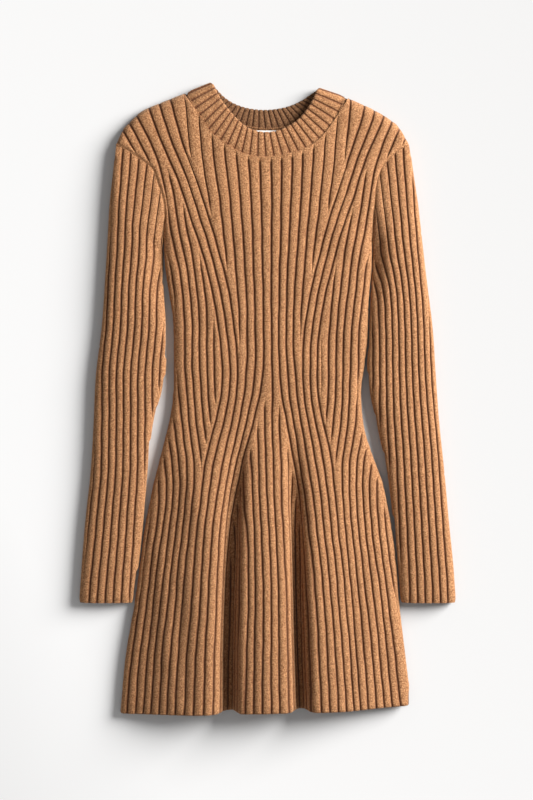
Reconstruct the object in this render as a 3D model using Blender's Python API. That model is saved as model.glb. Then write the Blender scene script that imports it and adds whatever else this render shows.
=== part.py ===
"""A long-sleeved sweater dress in wide rib knit, laid flat on its back panel.

Sizes are in millimetres until a mesh is made.  The dress lies on z = 0 with its neck towards +Y,
and +X is on the right of someone who looks down on the front.  The origin is under the middle of
the whole dress.  Every piece of cloth is a closed wall: an outer side with its ribs raised and a
plain inner side, lofted through rows of keyed points, so that a rib may start or end on a row.
"""
import math

import bmesh
import bpy
import numpy as np

MM = 0.001

# Cloth and seams
WALL = 2.2                  # body and sleeve cloth at the bottom of a groove
BACK_WALL = 3.0             # back panel, its rib lying flat
BACK_COLUMNS = 65
BACK_STEPS = {"top": 1, "yoke": 4, "body": 8}   # every how many columns a row has one
RIB_RISE = 1.6              # crest of a rib over its groove
SEAM_GAP = 0.3
CREST = (0.27, 0.73)        # where a rib's flat crest starts and ends, as a share of its width
REST = BACK_WALL + SEAM_GAP     # inner side of the front where it lies on the back

# Front panel
CROWN = 10.5                # inner side of the front over the floor, across the bodice
PANEL_ROLL = 15.0           # width of the turned-down side edge
SHOULDER_ROLL = 18.0        # width of the turned-down shoulder edge
UNDERARM = 205.0
ARMHOLE_LEVEL = 250.0       # above this the side edge is an armhole and no longer lies down
ARMHOLE_REACH = 0.55        # share of its wall by which the front comes further out there
GODET_TOP = 2.0             # where the let-in ribs start
STEEPEST = math.radians(70)     # steepest flank of a fold
BULGE_DOME = 0.12           # how much the middle of the skirt is domed, of its rise
ORIGIN_SHIFT = (0.0, -2.18)
ROW_SAMPLES = 700
ROLL_SAMPLES = 24
EDGE_SAMPLES = 2000
SAME_POINT = 1e-6
SHARP_ANGLE = math.radians(50)

# Outline of the body.  Left and right are the silhouette; above the underarm they are the armhole.
BODY_EDGES = (
    ("y", "left", "right"),
    (331, -196, 184), (325, -184, 172), (313, -166, 158.5), (303, -152, 150), (282, -142.5, 142),
    (260, -135, 139.5), (240, -133, 138), (214, -134.5, 136), (171, -132.6, 135),
    (140, -128, 132), (109, -123, 130.7), (78, -121.6, 130), (46, -121.6, 126),
    (15, -121.6, 121.6), (-16, -125, 122.5), (-47, -132, 128), (-78, -140, 138.5),
    (-110, -148, 150), (-141, -154.5, 156.5), (-172, -160, 162), (-203, -164, 166),
    (-265, -172.5, 171), (-328, -183.5, 178.5), (-407, -191, 188),
)
SHOULDER_LINE = (
    ("x", "y"),
    (-197, 331), (-187, 352), (-176, 363.5), (-166, 373), (-155, 379), (-141, 384.5),
    (-119, 393.5), (-106, 398), (102, 394), (106, 391), (132, 379.5), (151.5, 369), (167, 358),
    (174, 349), (184, 331),
)
FRONT_NECK_LINE = (
    ("x", "y"),
    (-106, 398), (-101, 389), (-93, 374), (-85, 363.5), (-75, 347.5), (-59, 334), (-46, 325.5),
    (-32, 318.5), (-15, 314.5), (3, 314), (20, 316.5), (42, 322.5), (58, 330.5), (68, 338),
    (79, 351), (90, 366.5), (98, 383), (102, 394),
)
BACK_NECK_LINE = (
    ("x", "y"),
    (-106, 398), (-96, 393), (-80, 383), (-50, 364.5), (-20, 354.5), (0, 353), (20, 354.5),
    (50, 366), (78, 382), (94, 390), (102, 394),
)
INNERMOST_EDGE = 0.55       # no side edge comes further in than this share of the shoulder's
HEM_LINE = (
    ("x", "y"),
    (-191, -407), (-120, -405), (0, -401), (100, -400), (188, -396),
)

# Lines that the ribs follow, and the rib widths between them.  The sweep runs from the shoulder
# round the bust to the hem, and the side line from the armhole down the side.  The middle columns
# are the rib widths of the middle bodice, and the left and right rib those of the sweep.
RIB_LINES = (
    ("y", "centre", "rib", "left_middle", "right_middle", "left_side", "left_sweep", "left_rib",
     "right_rib", "right_sweep", "right_side"),
    (395, 4, 14, 15.8, 14.8, -182, -128, 15.5, 15, 129, 172),
    (358, 4, 14, 15.4, 14.4, -164.4, -118, 14.6, 13.6, 120, 160),
    (327, 4, 13, 15, 13.9, -149.5, -108.5, 12.9, 11.6, 110, 147.3),
    (296, 4.5, 10.3, 14.4, 13.4, -138.6, -96.7, 12, 10.9, 99.8, 138),
    (265, 5, 10.4, 13.6, 12.6, -132, -85.5, 11.9, 11, 89.8, 133.5),
    (234, 5, 10.2, 12.9, 12, -127.4, -75.7, 11.7, 10.7, 79.6, 128),
    (202, 5, 10.1, 12.2, 11.2, -121, -66.3, 11.2, 10.2, 70.6, 122),
    (171, 4.6, 9.8, 11.5, 10.6, -115, -57.7, 10.8, 10.2, 62.7, 117),
    (140, 4.6, 9.7, 10.9, 10.1, -110.5, -50.8, 10.6, 10, 55.6, 113.5),
    (109, 4.6, 9.6, 10.5, 9.6, -108, -45.8, 10.2, 9.7, 50.1, 110),
    (78, 4.8, 9.5, 10.4, 9.4, -107.5, -41.9, 9.9, 9.3, 46.7, 107.6),
    (46, 5.3, 9.4, 10.4, 9.4, -107, -39.6, 9.7, 9.4, 45.4, 107),
    (15, 5.8, 9.2, 10.4, 9.4, -105.2, -39.8, 9.8, 8.8, 46.5, 106),
    (-16, 5.6, 9.3, 10.4, 9.4, -103, -44.1, 10.2, 9.2, 50.2, 104.5),
    (-47, 6, 9.4, 10.4, 9.4, -99.5, -50.8, 11, 10, 55.6, 101.5),
    (-78, 7, 9.4, 10.4, 9.4, -95.5, -58, 11, 10.3, 61, 96.5),
    (-110, 7.6, 9.2, 10.4, 9.4, -94.6, -64, 10.1, 9.7, 65.9, 95.3),
    (-141, 8.4, 9, 10.4, 9.4, -97, -68.5, 9.5, 9.4, 69.4, 97),
    (-172, 10, 9, 10.4, 9.4, -100.5, -71.8, 9.4, 9.1, 72.5, 99.5),
    (-203, 11.5, 9.2, 10.4, 9.4, -104, -73.8, 9.7, 9.3, 76, 102.5),
    (-265, 13.6, 9.7, 10.4, 9.4, -109, -76.7, 10.1, 9, 81.5, 108.5),
    (-328, 14, 10.3, 10.4, 9.4, -114.4, -80, 11.4, 9.6, 86, 113.5),
    (-407, 15, 10.9, 10.4, 9.4, -118, -82, 12, 10.2, 90.4, 119),
)
MIDDLE_RIBS = 8             # ribs of the middle bodice counted out from the centre groove
BUNDLE_RIBS = 3             # of them, those that go on into the skirt beside the sweep
SWEEP_RIBS = 3
SIDE_RIBS = range(-5, 9)    # counted outwards from the side line
GODET_RIBS = 14
FOLDED_WIDTH = 85.0         # the inner side is as fine as the outer this far from the middle
BUNDLE_BLEND = (50.0, -25.0)    # where the bodice ribs turn into the skirt's bundle
EVEN_BLEND = (62.0, 34.0)       # where they become evenly spaced between centre and sweep
MIDDLE_RIBS_END = 58.0      # lowest row that has the middle ribs outside the bundle
SIDE_SPLIT_TOP = 300.0      # above this no groove lies between the sweep and the side line
NEW_RIB = 8.3               # a groove beside the sweep starts and ends this far from it
NARROWEST = 0.5             # at an edge or in a fold a rib starts at this share of its width
FULL_RIB = 6.5              # a narrower rib is lower

# Two long folds of the skirt: where the panel's crest, the fold's floor and the middle crest lie
SKIRT_FOLDS = (
    ("y", "left_crest", "left_floor", "left_bulge", "right_bulge", "right_floor", "right_crest",
     "crest", "bulge", "floor"),
    (-15, -57, -28, -10, 14, 27, 51, 10.5, 10.5, 10.5),
    (-47, -61, -33, -15, 15, 29, 54, 13.5, 13, 11.3),
    (-78, -65, -35, -18, 15, 31, 57, 17, 17, 10.5),
    (-110, -68, -37, -21, 15, 33, 59, 20.5, 21, 9.5),
    (-172, -72, -42, -24, 16, 36, 61, 26, 27, 7.5),
    (-265, -76, -47, -27, 18, 38, 62, 31, 32, 6),
    (-407, -78, -47, -28, 21, 43, 66, 33, 34, 5),
)

# Rows of the body from the shoulders to the hem: shares of the yoke, then heights
YOKE_ROWS = (0.0, 0.08, 0.2, 0.35, 0.52, 0.72)
BODY_ROWS = (205, 175, 145, 115, 85, 58, 30, 4, -20, -43, -66, -90, -115, -142, -175, -215, -260,
             -310, -360)

# Sleeves: outer and inner silhouette, the height of the top, how far along the cloth the first
# groove lies from the outer edge, and the rib width.  The first row slants, so its ribs are wider.
SLEEVE_LEFT = (
    ("y_outer", "x_outer", "y_inner", "x_inner", "height", "first", "rib"),
    (250, -204, 196, -137.5, 17, 7.5, 11.6),
    (170, -208, 150, -137, 17.5, 8, 9.3),
    (97, -213, 90, -133.5, 17.5, 9.1, 9.15),
    (32, -221, 30, -134.5, 17, 11.6, 9.2),
    (-30, -224, -30, -150, 16.5, 14.4, 9.2),
    (-95, -228, -95, -157, 16, 16.8, 9.3),
    (-160, -235, -160, -163, 15.5, 17.7, 9.7),
    (-220, -240, -220, -169.5, 15, 16.6, 10.1),
    (-263, -243, -263, -175.5, 14.5, 15.4, 10.4),
)
SLEEVE_RIGHT = (
    ("y_outer", "x_outer", "y_inner", "x_inner", "height", "first", "rib"),
    (250, 194.5, 196, 138.5, 17, -0.8, 12.1),
    (170, 203, 150, 136.5, 17.5, 3.5, 8.5),
    (97, 212, 90, 133.6, 17.5, 7, 8.2),
    (32, 216.5, 30, 131.5, 17, 9, 8.4),
    (-30, 221, -30, 143, 16.5, 8.2, 8.9),
    (-95, 228, -95, 157, 16, 10, 9.1),
    (-160, 234, -160, 165, 15.5, 11.8, 9.3),
    (-220, 240, -220, 171, 15, 13, 9.6),
    (-263, 243, -263, 174.5, 14.5, 13.8, 9.8),
)
SLEEVE_RIBS = range(-1, 12)     # counted from the first groove inwards
SLEEVE_LEAN = (0.04, 0.11)  # how the ribs lean at the armhole, at the outer edge and more inwards
PLAN_SAMPLES = 400
SLEEVE_EDGE_HEIGHT = 0.38   # height of the widest point, as a share of the sleeve's height
SLEEVE_FULLNESS = 2.7       # exponent of the rounded top
SLEEVE_CORNER = 1.1         # width of the turn underneath, of the height of the widest point
SLEEVE_SAMPLES = 220
CORNER_SAMPLES = 16
BASE_SAMPLES = 12
HEAD_EDGE = 2.7             # height of the widest point at the armhole, and its fullness
HEAD_FULLNESS = 8.0
SLEEVE_CLEARANCE = 0.8      # between the sleeve head and the armhole, in plan
HEAD_ROWS = (0.0, 0.22, 0.5, 0.78)
SLEEVE_BASE_POINTS = 15     # underneath at the armhole, and every third one further down
SLEEVE_BASE_STEP = 3

# Neckband and label
BAND_WALL = 3.0
BAND_RISE = 1.1
BAND_RIBS = 26              # on the front; the back has the same
BAND_HEIGHT = 7.0           # inner side of the band where it folds over at the shoulders
BAND_GAP = 0.6
BAND_END_GAP = 4.0          # how many times wider the gap is where the band folds over
BAND_END_SHARPNESS = 14
BAND_TURN = 2.6             # how far the fold at a shoulder moves out at the free edge
BAND_INSET = 0.008          # share of the seam left free at each shoulder
BAND_SHARES = (1.0, 0.5, 0.0)   # rows of the band from the seam to the free edge
FRONT_BAND_EDGE = (
    ("x", "y"),
    (-71.5, 410), (-62.5, 391.5), (-51.5, 376.5), (-36, 359.5), (-27, 352.5), (-16, 348),
    (0, 346), (16, 349), (29, 355), (41, 363.5), (49, 372.5), (56, 383), (61.5, 393), (65, 403),
)
BACK_BAND_EDGE = (
    ("x", "y"),
    (-71.5, 410), (-65, 402), (-57, 394), (-46, 386.5), (-31, 380.5), (-15, 377.5), (1, 377),
    (17, 379), (33, 383.5), (46, 390), (56.5, 397), (65, 403),
)
LABEL_SIZE = (28.0, 12.0, 0.6)
LABEL_PLACE = (-1.0, 344.5)

CLOTH = (0.40, 0.235, 0.12, 1.0)
CLOTH_ROUGHNESS = 0.95
LABEL_CLOTH = (0.86, 0.86, 0.84, 1.0)
LABEL_ROUGHNESS = 0.8


def smooth_curve(stations, values):
    """A curve through the values that turns smoothly at each station."""
    order = np.argsort(stations)
    at = np.asarray(stations, float)[order]
    value = np.asarray(values, float)[order]
    slope = np.gradient(value, at)

    def curve(position):
        position = np.asarray(position, float)
        i = np.clip(np.searchsorted(at, position) - 1, 0, len(at) - 2)
        span = at[i + 1] - at[i]
        t = np.clip((position - at[i]) / span, 0, 1)
        beyond = position - np.clip(position, at[0], at[-1])
        end_slope = np.where(beyond > 0, slope[-1], slope[0])
        return ((2 * t**3 - 3 * t**2 + 1) * value[i] + (t**3 - 2 * t**2 + t) * span * slope[i]
                + (3 * t**2 - 2 * t**3) * value[i + 1] + (t**3 - t**2) * span * slope[i + 1]
                + beyond * end_slope)
    return curve


def read_table(table):
    """One smooth curve for each named column of a table, read by its first column."""
    rows = np.array(table[1:], float)
    return {name: smooth_curve(rows[:, 0], rows[:, i]) for i, name in enumerate(table[0])}


def straight_line(table):
    """The table's second column by its first, straight between its points."""
    rows = np.array(table[1:], float)
    return lambda position: np.interp(position, rows[:, 0], rows[:, 1])


def ease(t):
    t = np.clip(t, 0, 1)
    return t * t * (3 - 2 * t)


def rolled(distance, width):
    """Share of the full height at a distance from an edge that turns down in a quarter round."""
    t = np.clip(distance / width, 0, 1)
    return np.sqrt(1 - (1 - t)**2)


EDGES = read_table(BODY_EDGES)
LINES = read_table(RIB_LINES)
FOLDS = read_table(SKIRT_FOLDS)
shoulder_y = straight_line(SHOULDER_LINE)
front_neck_y = straight_line(FRONT_NECK_LINE)
back_neck_y = straight_line(BACK_NECK_LINE)
hem_y = straight_line(HEM_LINE)
NECK_LEFT = FRONT_NECK_LINE[1][0]
NECK_RIGHT = FRONT_NECK_LINE[-1][0]


def top_y(x, neck_y):
    """The panel's top outline: its shoulders, and its neck between them."""
    inside_neck = (x > NECK_LEFT) & (x < NECK_RIGHT)
    return np.where(inside_neck, neck_y(x), shoulder_y(x))


# ---------------------------------------------------------------- heights of the front panel

def soft_step(along, run, rise):
    """Height along an S-shaped rise: two equal arcs, with a straight flank where it is steep."""
    if rise < SAME_POINT:
        return np.zeros_like(along)
    angle = 2 * math.atan2(rise, run)
    if angle < STEEPEST:
        radius = run / (2 * math.sin(angle))
    else:
        angle = STEEPEST
        radius = (run * math.tan(angle) - rise) / (1 / math.cos(angle) - 1) / 2
    reach = radius * math.sin(angle)
    lift = radius * (1 - math.cos(angle))
    start = radius - np.sqrt(np.maximum(radius**2 - np.minimum(along, reach)**2, 0))
    end = rise - radius + np.sqrt(np.maximum(radius**2 - np.minimum(run - along, reach)**2, 0))
    flank = lift + (along - reach) * math.tan(angle)
    return np.where(along <= reach, start, np.where(along >= run - reach, end, flank))


def skirt_height(x, y):
    """Inner side of the skirt over the floor, across one row, before its edges turn down."""
    fold = {name: float(curve(y)) for name, curve in FOLDS.items()}
    height = np.full_like(x, CROWN)
    for sign, side in ((-1, "left"), (1, "right")):
        edge = abs(float(EDGES[side](y)))
        crest, floor, bulge = (sign * fold[side + name] for name in ("_crest", "_floor", "_bulge"))
        out = x * sign
        rise = fold["crest"] - CROWN
        panel = CROWN + rise * ease((edge - out) / (edge - crest))
        down = fold["crest"] - soft_step(np.clip(crest - out, 0, crest - floor), crest - floor,
                                         fold["crest"] - fold["floor"])
        up = fold["bulge"] - soft_step(np.clip(out - bulge, 0, floor - bulge), floor - bulge,
                                       fold["bulge"] - fold["floor"])
        height = np.where(out > bulge, up, height)
        height = np.where(out > floor, down, height)
        height = np.where(out > crest, panel, height)
    across = (x - fold["left_bulge"]) / (fold["right_bulge"] - fold["left_bulge"])
    dome = BULGE_DOME * (fold["bulge"] - CROWN) * (1 - np.cos(2 * math.pi * across)) / 2
    return np.where((across > 0) & (across < 1), fold["bulge"] + dome, height)


def front_height(x, y):
    """Inner side of the front over the floor."""
    x, y = np.broadcast_arrays(np.asarray(x, float), np.asarray(y, float))
    level = float(np.mean(y))
    full = skirt_height(x, level) if level < SKIRT_FOLDS[1][0] else np.full(x.shape, CROWN)
    near = np.minimum(x - EDGES["left"](y) - WALL, EDGES["right"](y) - WALL - x)
    lifted = ease((y - UNDERARM) / (ARMHOLE_LEVEL - UNDERARM))
    side = rolled(near, PANEL_ROLL)
    side = side + (1 - side) * lifted
    shoulder = rolled(shoulder_y(x) - y, SHOULDER_ROLL)
    return REST + (full - REST) * side * shoulder


# ---------------------------------------------------------------- rows of the panels

class Row:
    """A fine line across a panel, which gives points by the distance along it."""

    def __init__(self, x, y, z):
        moved = np.hypot(np.hypot(np.diff(x), np.diff(y)), np.diff(z)) > SAME_POINT
        keep = np.concatenate(([True], moved))
        x, y, z = x[keep], y[keep], z[keep]
        self.x, self.y, self.z = x, y, z
        steps = np.hypot(np.hypot(np.diff(x), np.diff(y)), np.diff(z))
        self.s = np.concatenate(([0.0], np.cumsum(steps)))
        dx, dz = np.gradient(x), np.gradient(z)
        size = np.hypot(dx, dz)
        self.nx, self.nz = -dz / size, dx / size

    def point(self, s, out=0.0):
        """The point at distance s, moved out along the cloth's own normal."""
        x, y, z, nx, nz = (np.interp(s, self.s, a) for a in (self.x, self.y, self.z, self.nx, self.nz))
        size = math.hypot(nx, nz)
        return (x + out * nx / size, y, z + out * nz / size)

    def crossing(self, guide):
        """Distance along the row where a guide line, x by y, crosses it."""
        past = self.x - guide(self.y)
        i = int(np.argmax(past >= 0))
        if i == 0:
            return self.s[0] if past[0] >= 0 else self.s[-1]
        share = past[i - 1] / (past[i - 1] - past[i])
        return self.s[i - 1] + share * (self.s[i] - self.s[i - 1])


def row_level(kind, value, neck_y):
    """Height of a row by x."""
    if kind == "yoke":
        return lambda x: top_y(x, neck_y) + (UNDERARM - top_y(x, neck_y)) * value
    if kind == "hem":
        return hem_y
    return lambda x: np.full_like(x, value)


def row_ends(level):
    """Where a row meets the panel's left and right edges; above the shoulder tips, at the tips."""
    ends = []
    for column, sign in ((1, 1), (2, -1)):
        side = BODY_EDGES[0][column]
        tip_y, tip_x = BODY_EDGES[1][0], BODY_EDGES[1][column]
        x = np.linspace(tip_x, tip_x * INNERMOST_EDGE, EDGE_SAMPLES)
        y = level(x)
        inside = (sign * (x - EDGES[side](y)) >= 0) | (y > tip_y)
        ends.append(float(x[int(np.argmax(inside))]))
    return ends


def turned_in(y):
    """How far inside the outline the front ends: by its wall at the sides, less at the armhole."""
    return WALL * (1 - ARMHOLE_REACH * float(ease((y - UNDERARM) / (ARMHOLE_LEVEL - UNDERARM))))


def panel_row(level):
    """A fine row over the front, its ends dense where the edge turns down."""
    left, right = row_ends(level)
    left, right = left + turned_in(level(left)), right - turned_in(level(right))
    turn = PANEL_ROLL * (1 - np.cos(np.linspace(0, math.pi / 2, ROLL_SAMPLES)))
    x = np.concatenate((left + turn[:-1],
                        np.linspace(left + PANEL_ROLL, right - PANEL_ROLL, ROW_SAMPLES),
                        right - turn[-2::-1]))
    y = level(x)
    return Row(x, y, front_height(x, y))


def side_grooves(row, side, sloping):
    """Grooves on one side of the centre groove, outwards: (name, distance from the centre).

    On a sloping row every groove keeps its place in plan, and on a level one the ribs of the
    skirt's folds and sides keep their widths along the cloth.
    """
    sign = -1 if side == "left" else 1
    centre = row.crossing(LINES["centre"])

    def outwards(name, k, width):
        """Distance of the groove that is k ribs beside a line, in plan."""
        return sign * (row.crossing(lambda y: LINES[name](y) + sign * k * LINES[width](y)) - centre)

    def beside_sweep(place, k):
        """How far out of the sweep's groove k a place is, in plan."""
        x, y = (float(np.interp(centre + sign * place, row.s, a)) for a in (row.x, row.y))
        return sign * x - sign * float(LINES[side + "_sweep"](y)) - k * float(LINES[side + "_rib"](y))

    sweep = [outwards(side + "_sweep", k, side + "_rib") for k in range(SWEEP_RIBS)]
    side_line = outwards(side + "_side", 0, "rib")
    edge = centre if side == "left" else row.s[-1] - centre
    level = float(np.interp(centre + sign * sweep[0], row.s, row.y))
    rib = float(LINES["rib"](level))
    bundled = float(ease((BUNDLE_BLEND[0] - level) / (BUNDLE_BLEND[0] - BUNDLE_BLEND[1])))
    evened = float(ease((EVEN_BLEND[0] - level) / (EVEN_BLEND[0] - EVEN_BLEND[1])))
    middle = []
    for k in range(1, MIDDLE_RIBS + 1):
        place = outwards("centre", k, side + "_middle")
        if k <= BUNDLE_RIBS:
            place = place + (sweep[0] * k / (BUNDLE_RIBS + 1) - place) * evened
            place = place + (sweep[0] - (BUNDLE_RIBS + 1 - k) * rib - place) * bundled
        elif level < MIDDLE_RIBS_END or beside_sweep(place, 0) > -NEW_RIB:
            continue
        middle.append((("middle", side, k), place))
    grooves = []
    if level < GODET_TOP:
        grooves += [(("godet", side, k), k * rib) for k in range(1, GODET_RIBS + 1)
                    if k * rib < middle[0][1] - NARROWEST * rib]
    grooves += middle
    grooves += [(("sweep", side, k), place) for k, place in enumerate(sweep)]
    for k in SIDE_RIBS:
        place = outwards(side + "_side", k, "rib") if sloping else side_line + k * rib
        _, y = row.point(centre + sign * place)[:2]
        if beside_sweep(place, SWEEP_RIBS - 1) > NEW_RIB and (k >= 0 or y < SIDE_SPLIT_TOP):
            grooves.append((("side", side, k), place))
    return centre, [groove for groove in grooves if groove[1] < edge - NARROWEST * rib]


def rib_columns(row, sloping):
    """Keyed columns of a front row: (key, distance, rise of the rib, whether it is a groove)."""
    centre, left = side_grooves(row, "left", sloping)
    _, right = side_grooves(row, "right", sloping)
    grooves = [(("edge", "left", 0), 0.0)]
    grooves += [(name, centre - out) for name, out in reversed(left)]
    grooves += [(("centre", "", 0), centre)]
    grooves += [(name, centre + out) for name, out in right]
    grooves += [(("edge", "right", 0), float(row.s[-1]))]
    columns = []
    for (name, start), (_, end) in zip(grooves, grooves[1:]):
        rise = RIB_RISE * min(1.0, (end - start) / FULL_RIB)
        columns.append((name + (0,), start, 0.0, True))
        columns += [(name + (i + 1,), start + (end - start) * share, rise, False)
                    for i, share in enumerate(CREST)]
    columns.append((grooves[-1][0] + (0,), grooves[-1][1], 0.0, True))
    return columns


# ---------------------------------------------------------------- building walls

class Wall:
    """A closed wall between an outer and an inner set of rows, in one mesh."""

    def __init__(self):
        self.mesh = bmesh.new()
        self.outer = []
        self.inner = []

    def add_row(self, outer, inner):
        """Outer and inner points of one row: lists of (key, point), the inner keys fewer."""
        def make(points):
            return [(key, self.mesh.verts.new([c * MM for c in point])) for key, point in points]
        self.outer.append(make(outer))
        self.inner.append(make(inner))

    def zip_rows(self, first, second):
        """Faces between two rows; a point whose key is in one row alone closes in a triangle."""
        first_keys = {key for key, _ in first}
        second_keys = {key for key, _ in second}
        i = j = 0
        while i < len(first) - 1 or j < len(second) - 1:
            next_first = first[i + 1][0] if i < len(first) - 1 else None
            next_second = second[j + 1][0] if j < len(second) - 1 else None
            if next_first is not None and next_first == next_second:
                self.face(first[i][1], first[i + 1][1], second[j + 1][1], second[j][1])
                i, j = i + 1, j + 1
            elif next_first is not None and next_first not in second_keys:
                self.face(first[i][1], first[i + 1][1], second[j][1])
                i += 1
            else:
                assert next_second is not None and next_second not in first_keys, next_second
                self.face(first[i][1], second[j + 1][1], second[j][1])
                j += 1

    def face(self, *verts):
        distinct = list(dict.fromkeys(verts))
        if len(distinct) > 2:
            self.mesh.faces.new(distinct)

    def close(self, ring=False):
        """Join the rows, the two end rims and the two side rims, unless the rows are rings."""
        for rows in (self.outer, self.inner):
            for first, second in zip(rows, rows[1:]):
                self.zip_rows(first, second)
        for end in (0, -1):
            self.zip_rows(self.outer[end], self.inner[end])
        if ring:
            return
        for side in (0, -1):
            rims = [(outer[side][1], inner[side][1]) for outer, inner in zip(self.outer, self.inner)]
            for (a, b), (c, d) in zip(rims, rims[1:]):
                self.face(a, b, d, c)

    def finish(self, name, material, collection):
        bmesh.ops.recalc_face_normals(self.mesh, faces=self.mesh.faces)
        shift = [c * MM for c in ORIGIN_SHIFT]
        for vert in self.mesh.verts:
            vert.co.x += shift[0]
            vert.co.y += shift[1]
        data = bpy.data.meshes.new(name)
        self.mesh.to_mesh(data)
        self.mesh.free()
        data.shade_smooth()
        data.set_sharp_from_angle(angle=SHARP_ANGLE)
        data.materials.append(material)
        piece = bpy.data.objects.new(name, data)
        collection.objects.link(piece)
        return piece


def body_levels():
    """The rows of a panel from shoulder to hem: (kind, value)."""
    levels = [("yoke", share) for share in YOKE_ROWS]
    levels += [("row", float(y)) for y in BODY_ROWS]
    return levels + [("hem", None)]


def make_front(material, collection):
    """The front panel: ribs raised outside, plain inside, with the skirt's two long folds."""
    wall = Wall()
    for kind, value in body_levels():
        row = panel_row(row_level(kind, value, front_neck_y))
        columns = rib_columns(row, kind == "yoke")
        inner = []
        for key, s, _, groove in columns:
            point = row.point(s)
            folded = point[1] < GODET_TOP and abs(point[0]) < FOLDED_WIDTH
            if groove or folded or value == 0.0:
                inner.append((key, point))
        wall.add_row([(key, row.point(s, WALL + rise)) for key, s, rise, _ in columns], inner)
    wall.close()
    return wall.finish("front", material, collection)


def make_back(material, collection):
    """The back panel, flat on the surface, its edges under those of the front."""
    wall = Wall()
    for kind, value in body_levels():
        step = BACK_STEPS["body" if kind != "yoke" else "yoke" if value else "top"]
        level = row_level(kind, value, back_neck_y)
        left, right = row_ends(level)
        points = []
        for i in range(0, BACK_COLUMNS, step):
            x = left + (right - left) * i / (BACK_COLUMNS - 1)
            points.append((i, x, float(level(np.array([x]))[0])))
        wall.add_row([(i, (x, y, BACK_WALL)) for i, x, y in points],
                     [(i, (x, y, 0.0)) for i, x, y in points])
    wall.close()
    return wall.finish("back", material, collection)


# ---------------------------------------------------------------- sleeves

def armhole(side):
    """The armhole as the panels' rows leave it, shoulder to underarm, moved out by the clearance."""
    points = []
    for kind, value in body_levels()[:len(YOKE_ROWS) + 1]:
        level = row_level(kind, value, front_neck_y)
        x = row_ends(level)[0 if side == "left" else 1]
        points.append((x, float(level(np.array([x]))[0])))
    points = np.array(points)
    along = np.gradient(points, axis=0)
    along /= np.linalg.norm(along, axis=1)[:, None]
    turn = -1 if side == "left" else 1
    return points + SLEEVE_CLEARANCE * turn * np.stack([-along[:, 1], along[:, 0]], axis=1)


def sleeve_loop(width, top_height, edge_height, fullness):
    """Fine outline of a sleeve across: over the top, round the inner edge and back underneath.

    top_height gives the height of the top by the share across.
    """
    share = (1 - np.cos(np.linspace(0, math.pi, SLEEVE_SAMPLES))) / 2
    dome = (1 - np.abs(2 * share - 1)**fullness)**(1 / fullness)
    top = edge_height + (top_height(share) - edge_height) * dome
    turn = np.linspace(0, math.pi / 2, CORNER_SAMPLES)[1:]
    corner = edge_height * SLEEVE_CORNER
    flat = np.linspace(width - corner, corner, BASE_SAMPLES)[1:-1]
    x = np.concatenate((share * width, width - corner + corner * np.cos(turn), flat,
                        corner - corner * np.sin(turn)))
    z = np.concatenate((top, edge_height - edge_height * np.sin(turn), np.zeros(len(flat)),
                        edge_height - edge_height * np.cos(turn)))
    return x, z


class Section:
    """One row of a sleeve: its outline across, and where that lies in plan."""

    def __init__(self, side, seam, station, share):
        self.sign = -1 if side == "left" else 1
        self.station, self.share = station, share
        y_outer, x_outer, y_inner, x_inner, height = station[:5]
        self.ends = np.array([[x_outer, y_outer], [x_inner, y_inner]], float)
        reach = np.concatenate(([0], np.cumsum(np.hypot(*np.diff(seam, axis=0).T))))
        self.seam, self.seam_share = seam, reach / reach[-1]
        width = math.hypot(*(self.ends[1] - self.ends[0]))
        self.width = reach[-1] + (width - reach[-1]) * share

        def top_height(u):
            """The top's height, led over from the front's at the armhole."""
            x, y = self.on_seam(u)
            edge = front_height(x - self.sign * (WALL + SLEEVE_CLEARANCE), y) + WALL
            return edge + (height - edge) * share

        edge_height = HEAD_EDGE + (height * SLEEVE_EDGE_HEIGHT - HEAD_EDGE) * share
        fullness = HEAD_FULLNESS + (SLEEVE_FULLNESS - HEAD_FULLNESS) * share
        x, z = sleeve_loop(self.width, top_height, edge_height, fullness)
        self.top_x = x[:SLEEVE_SAMPLES]
        self.loop = Row(np.append(x, x[0]), np.zeros(len(x) + 1), np.append(z, z[0]))
        self.top_length = float(self.loop.s[SLEEVE_SAMPLES - 1])

    def on_seam(self, u):
        return np.array([np.interp(u, self.seam_share, self.seam[:, i]) for i in (0, 1)])

    def plan(self, u):
        """Where a share across the sleeve lies in plan."""
        straight = self.ends[0][:, None] + np.outer(self.ends[1] - self.ends[0], u)
        bent = self.on_seam(np.atleast_1d(u))
        return bent + (straight - bent) * self.share

    def place(self, s, out):
        """The point at distance s round the sleeve, moved out along the cloth's own normal."""
        u, _, z = self.loop.point(s, out)
        x, y = self.plan(u / self.width)[:, 0]
        return (float(x), float(y), max(z, 0.0))

    def crossing(self, guide):
        """Distance round the sleeve at which a line, x by y, crosses its top in plan."""
        u = np.linspace(0, 1, PLAN_SAMPLES)
        x, y = self.plan(u)
        past = self.sign * (guide(y) - x)
        i = int(np.argmax(past >= 0))
        if i == 0:
            return 0.0
        at = u[i - 1] + (u[i] - u[i - 1]) * past[i - 1] / (past[i - 1] - past[i])
        return float(np.interp(at * self.width, self.top_x, self.loop.s[:SLEEVE_SAMPLES]))

    def guide(self, s):
        """The line, x by y, that a groove of this row follows up to the armhole."""
        u = self.loop.point(s)[0] / self.width
        x0, y0 = self.plan(u)[:, 0]
        lean = self.sign * (SLEEVE_LEAN[0] + SLEEVE_LEAN[1] * u)
        return lambda y: x0 - lean * (y - y0)

    def own_grooves(self):
        """Distances of the grooves by the row's own first groove and rib width."""
        first, rib = self.station[5:]
        return {k: first + k * rib for k in SLEEVE_RIBS if first + k * rib < self.top_length}


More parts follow.
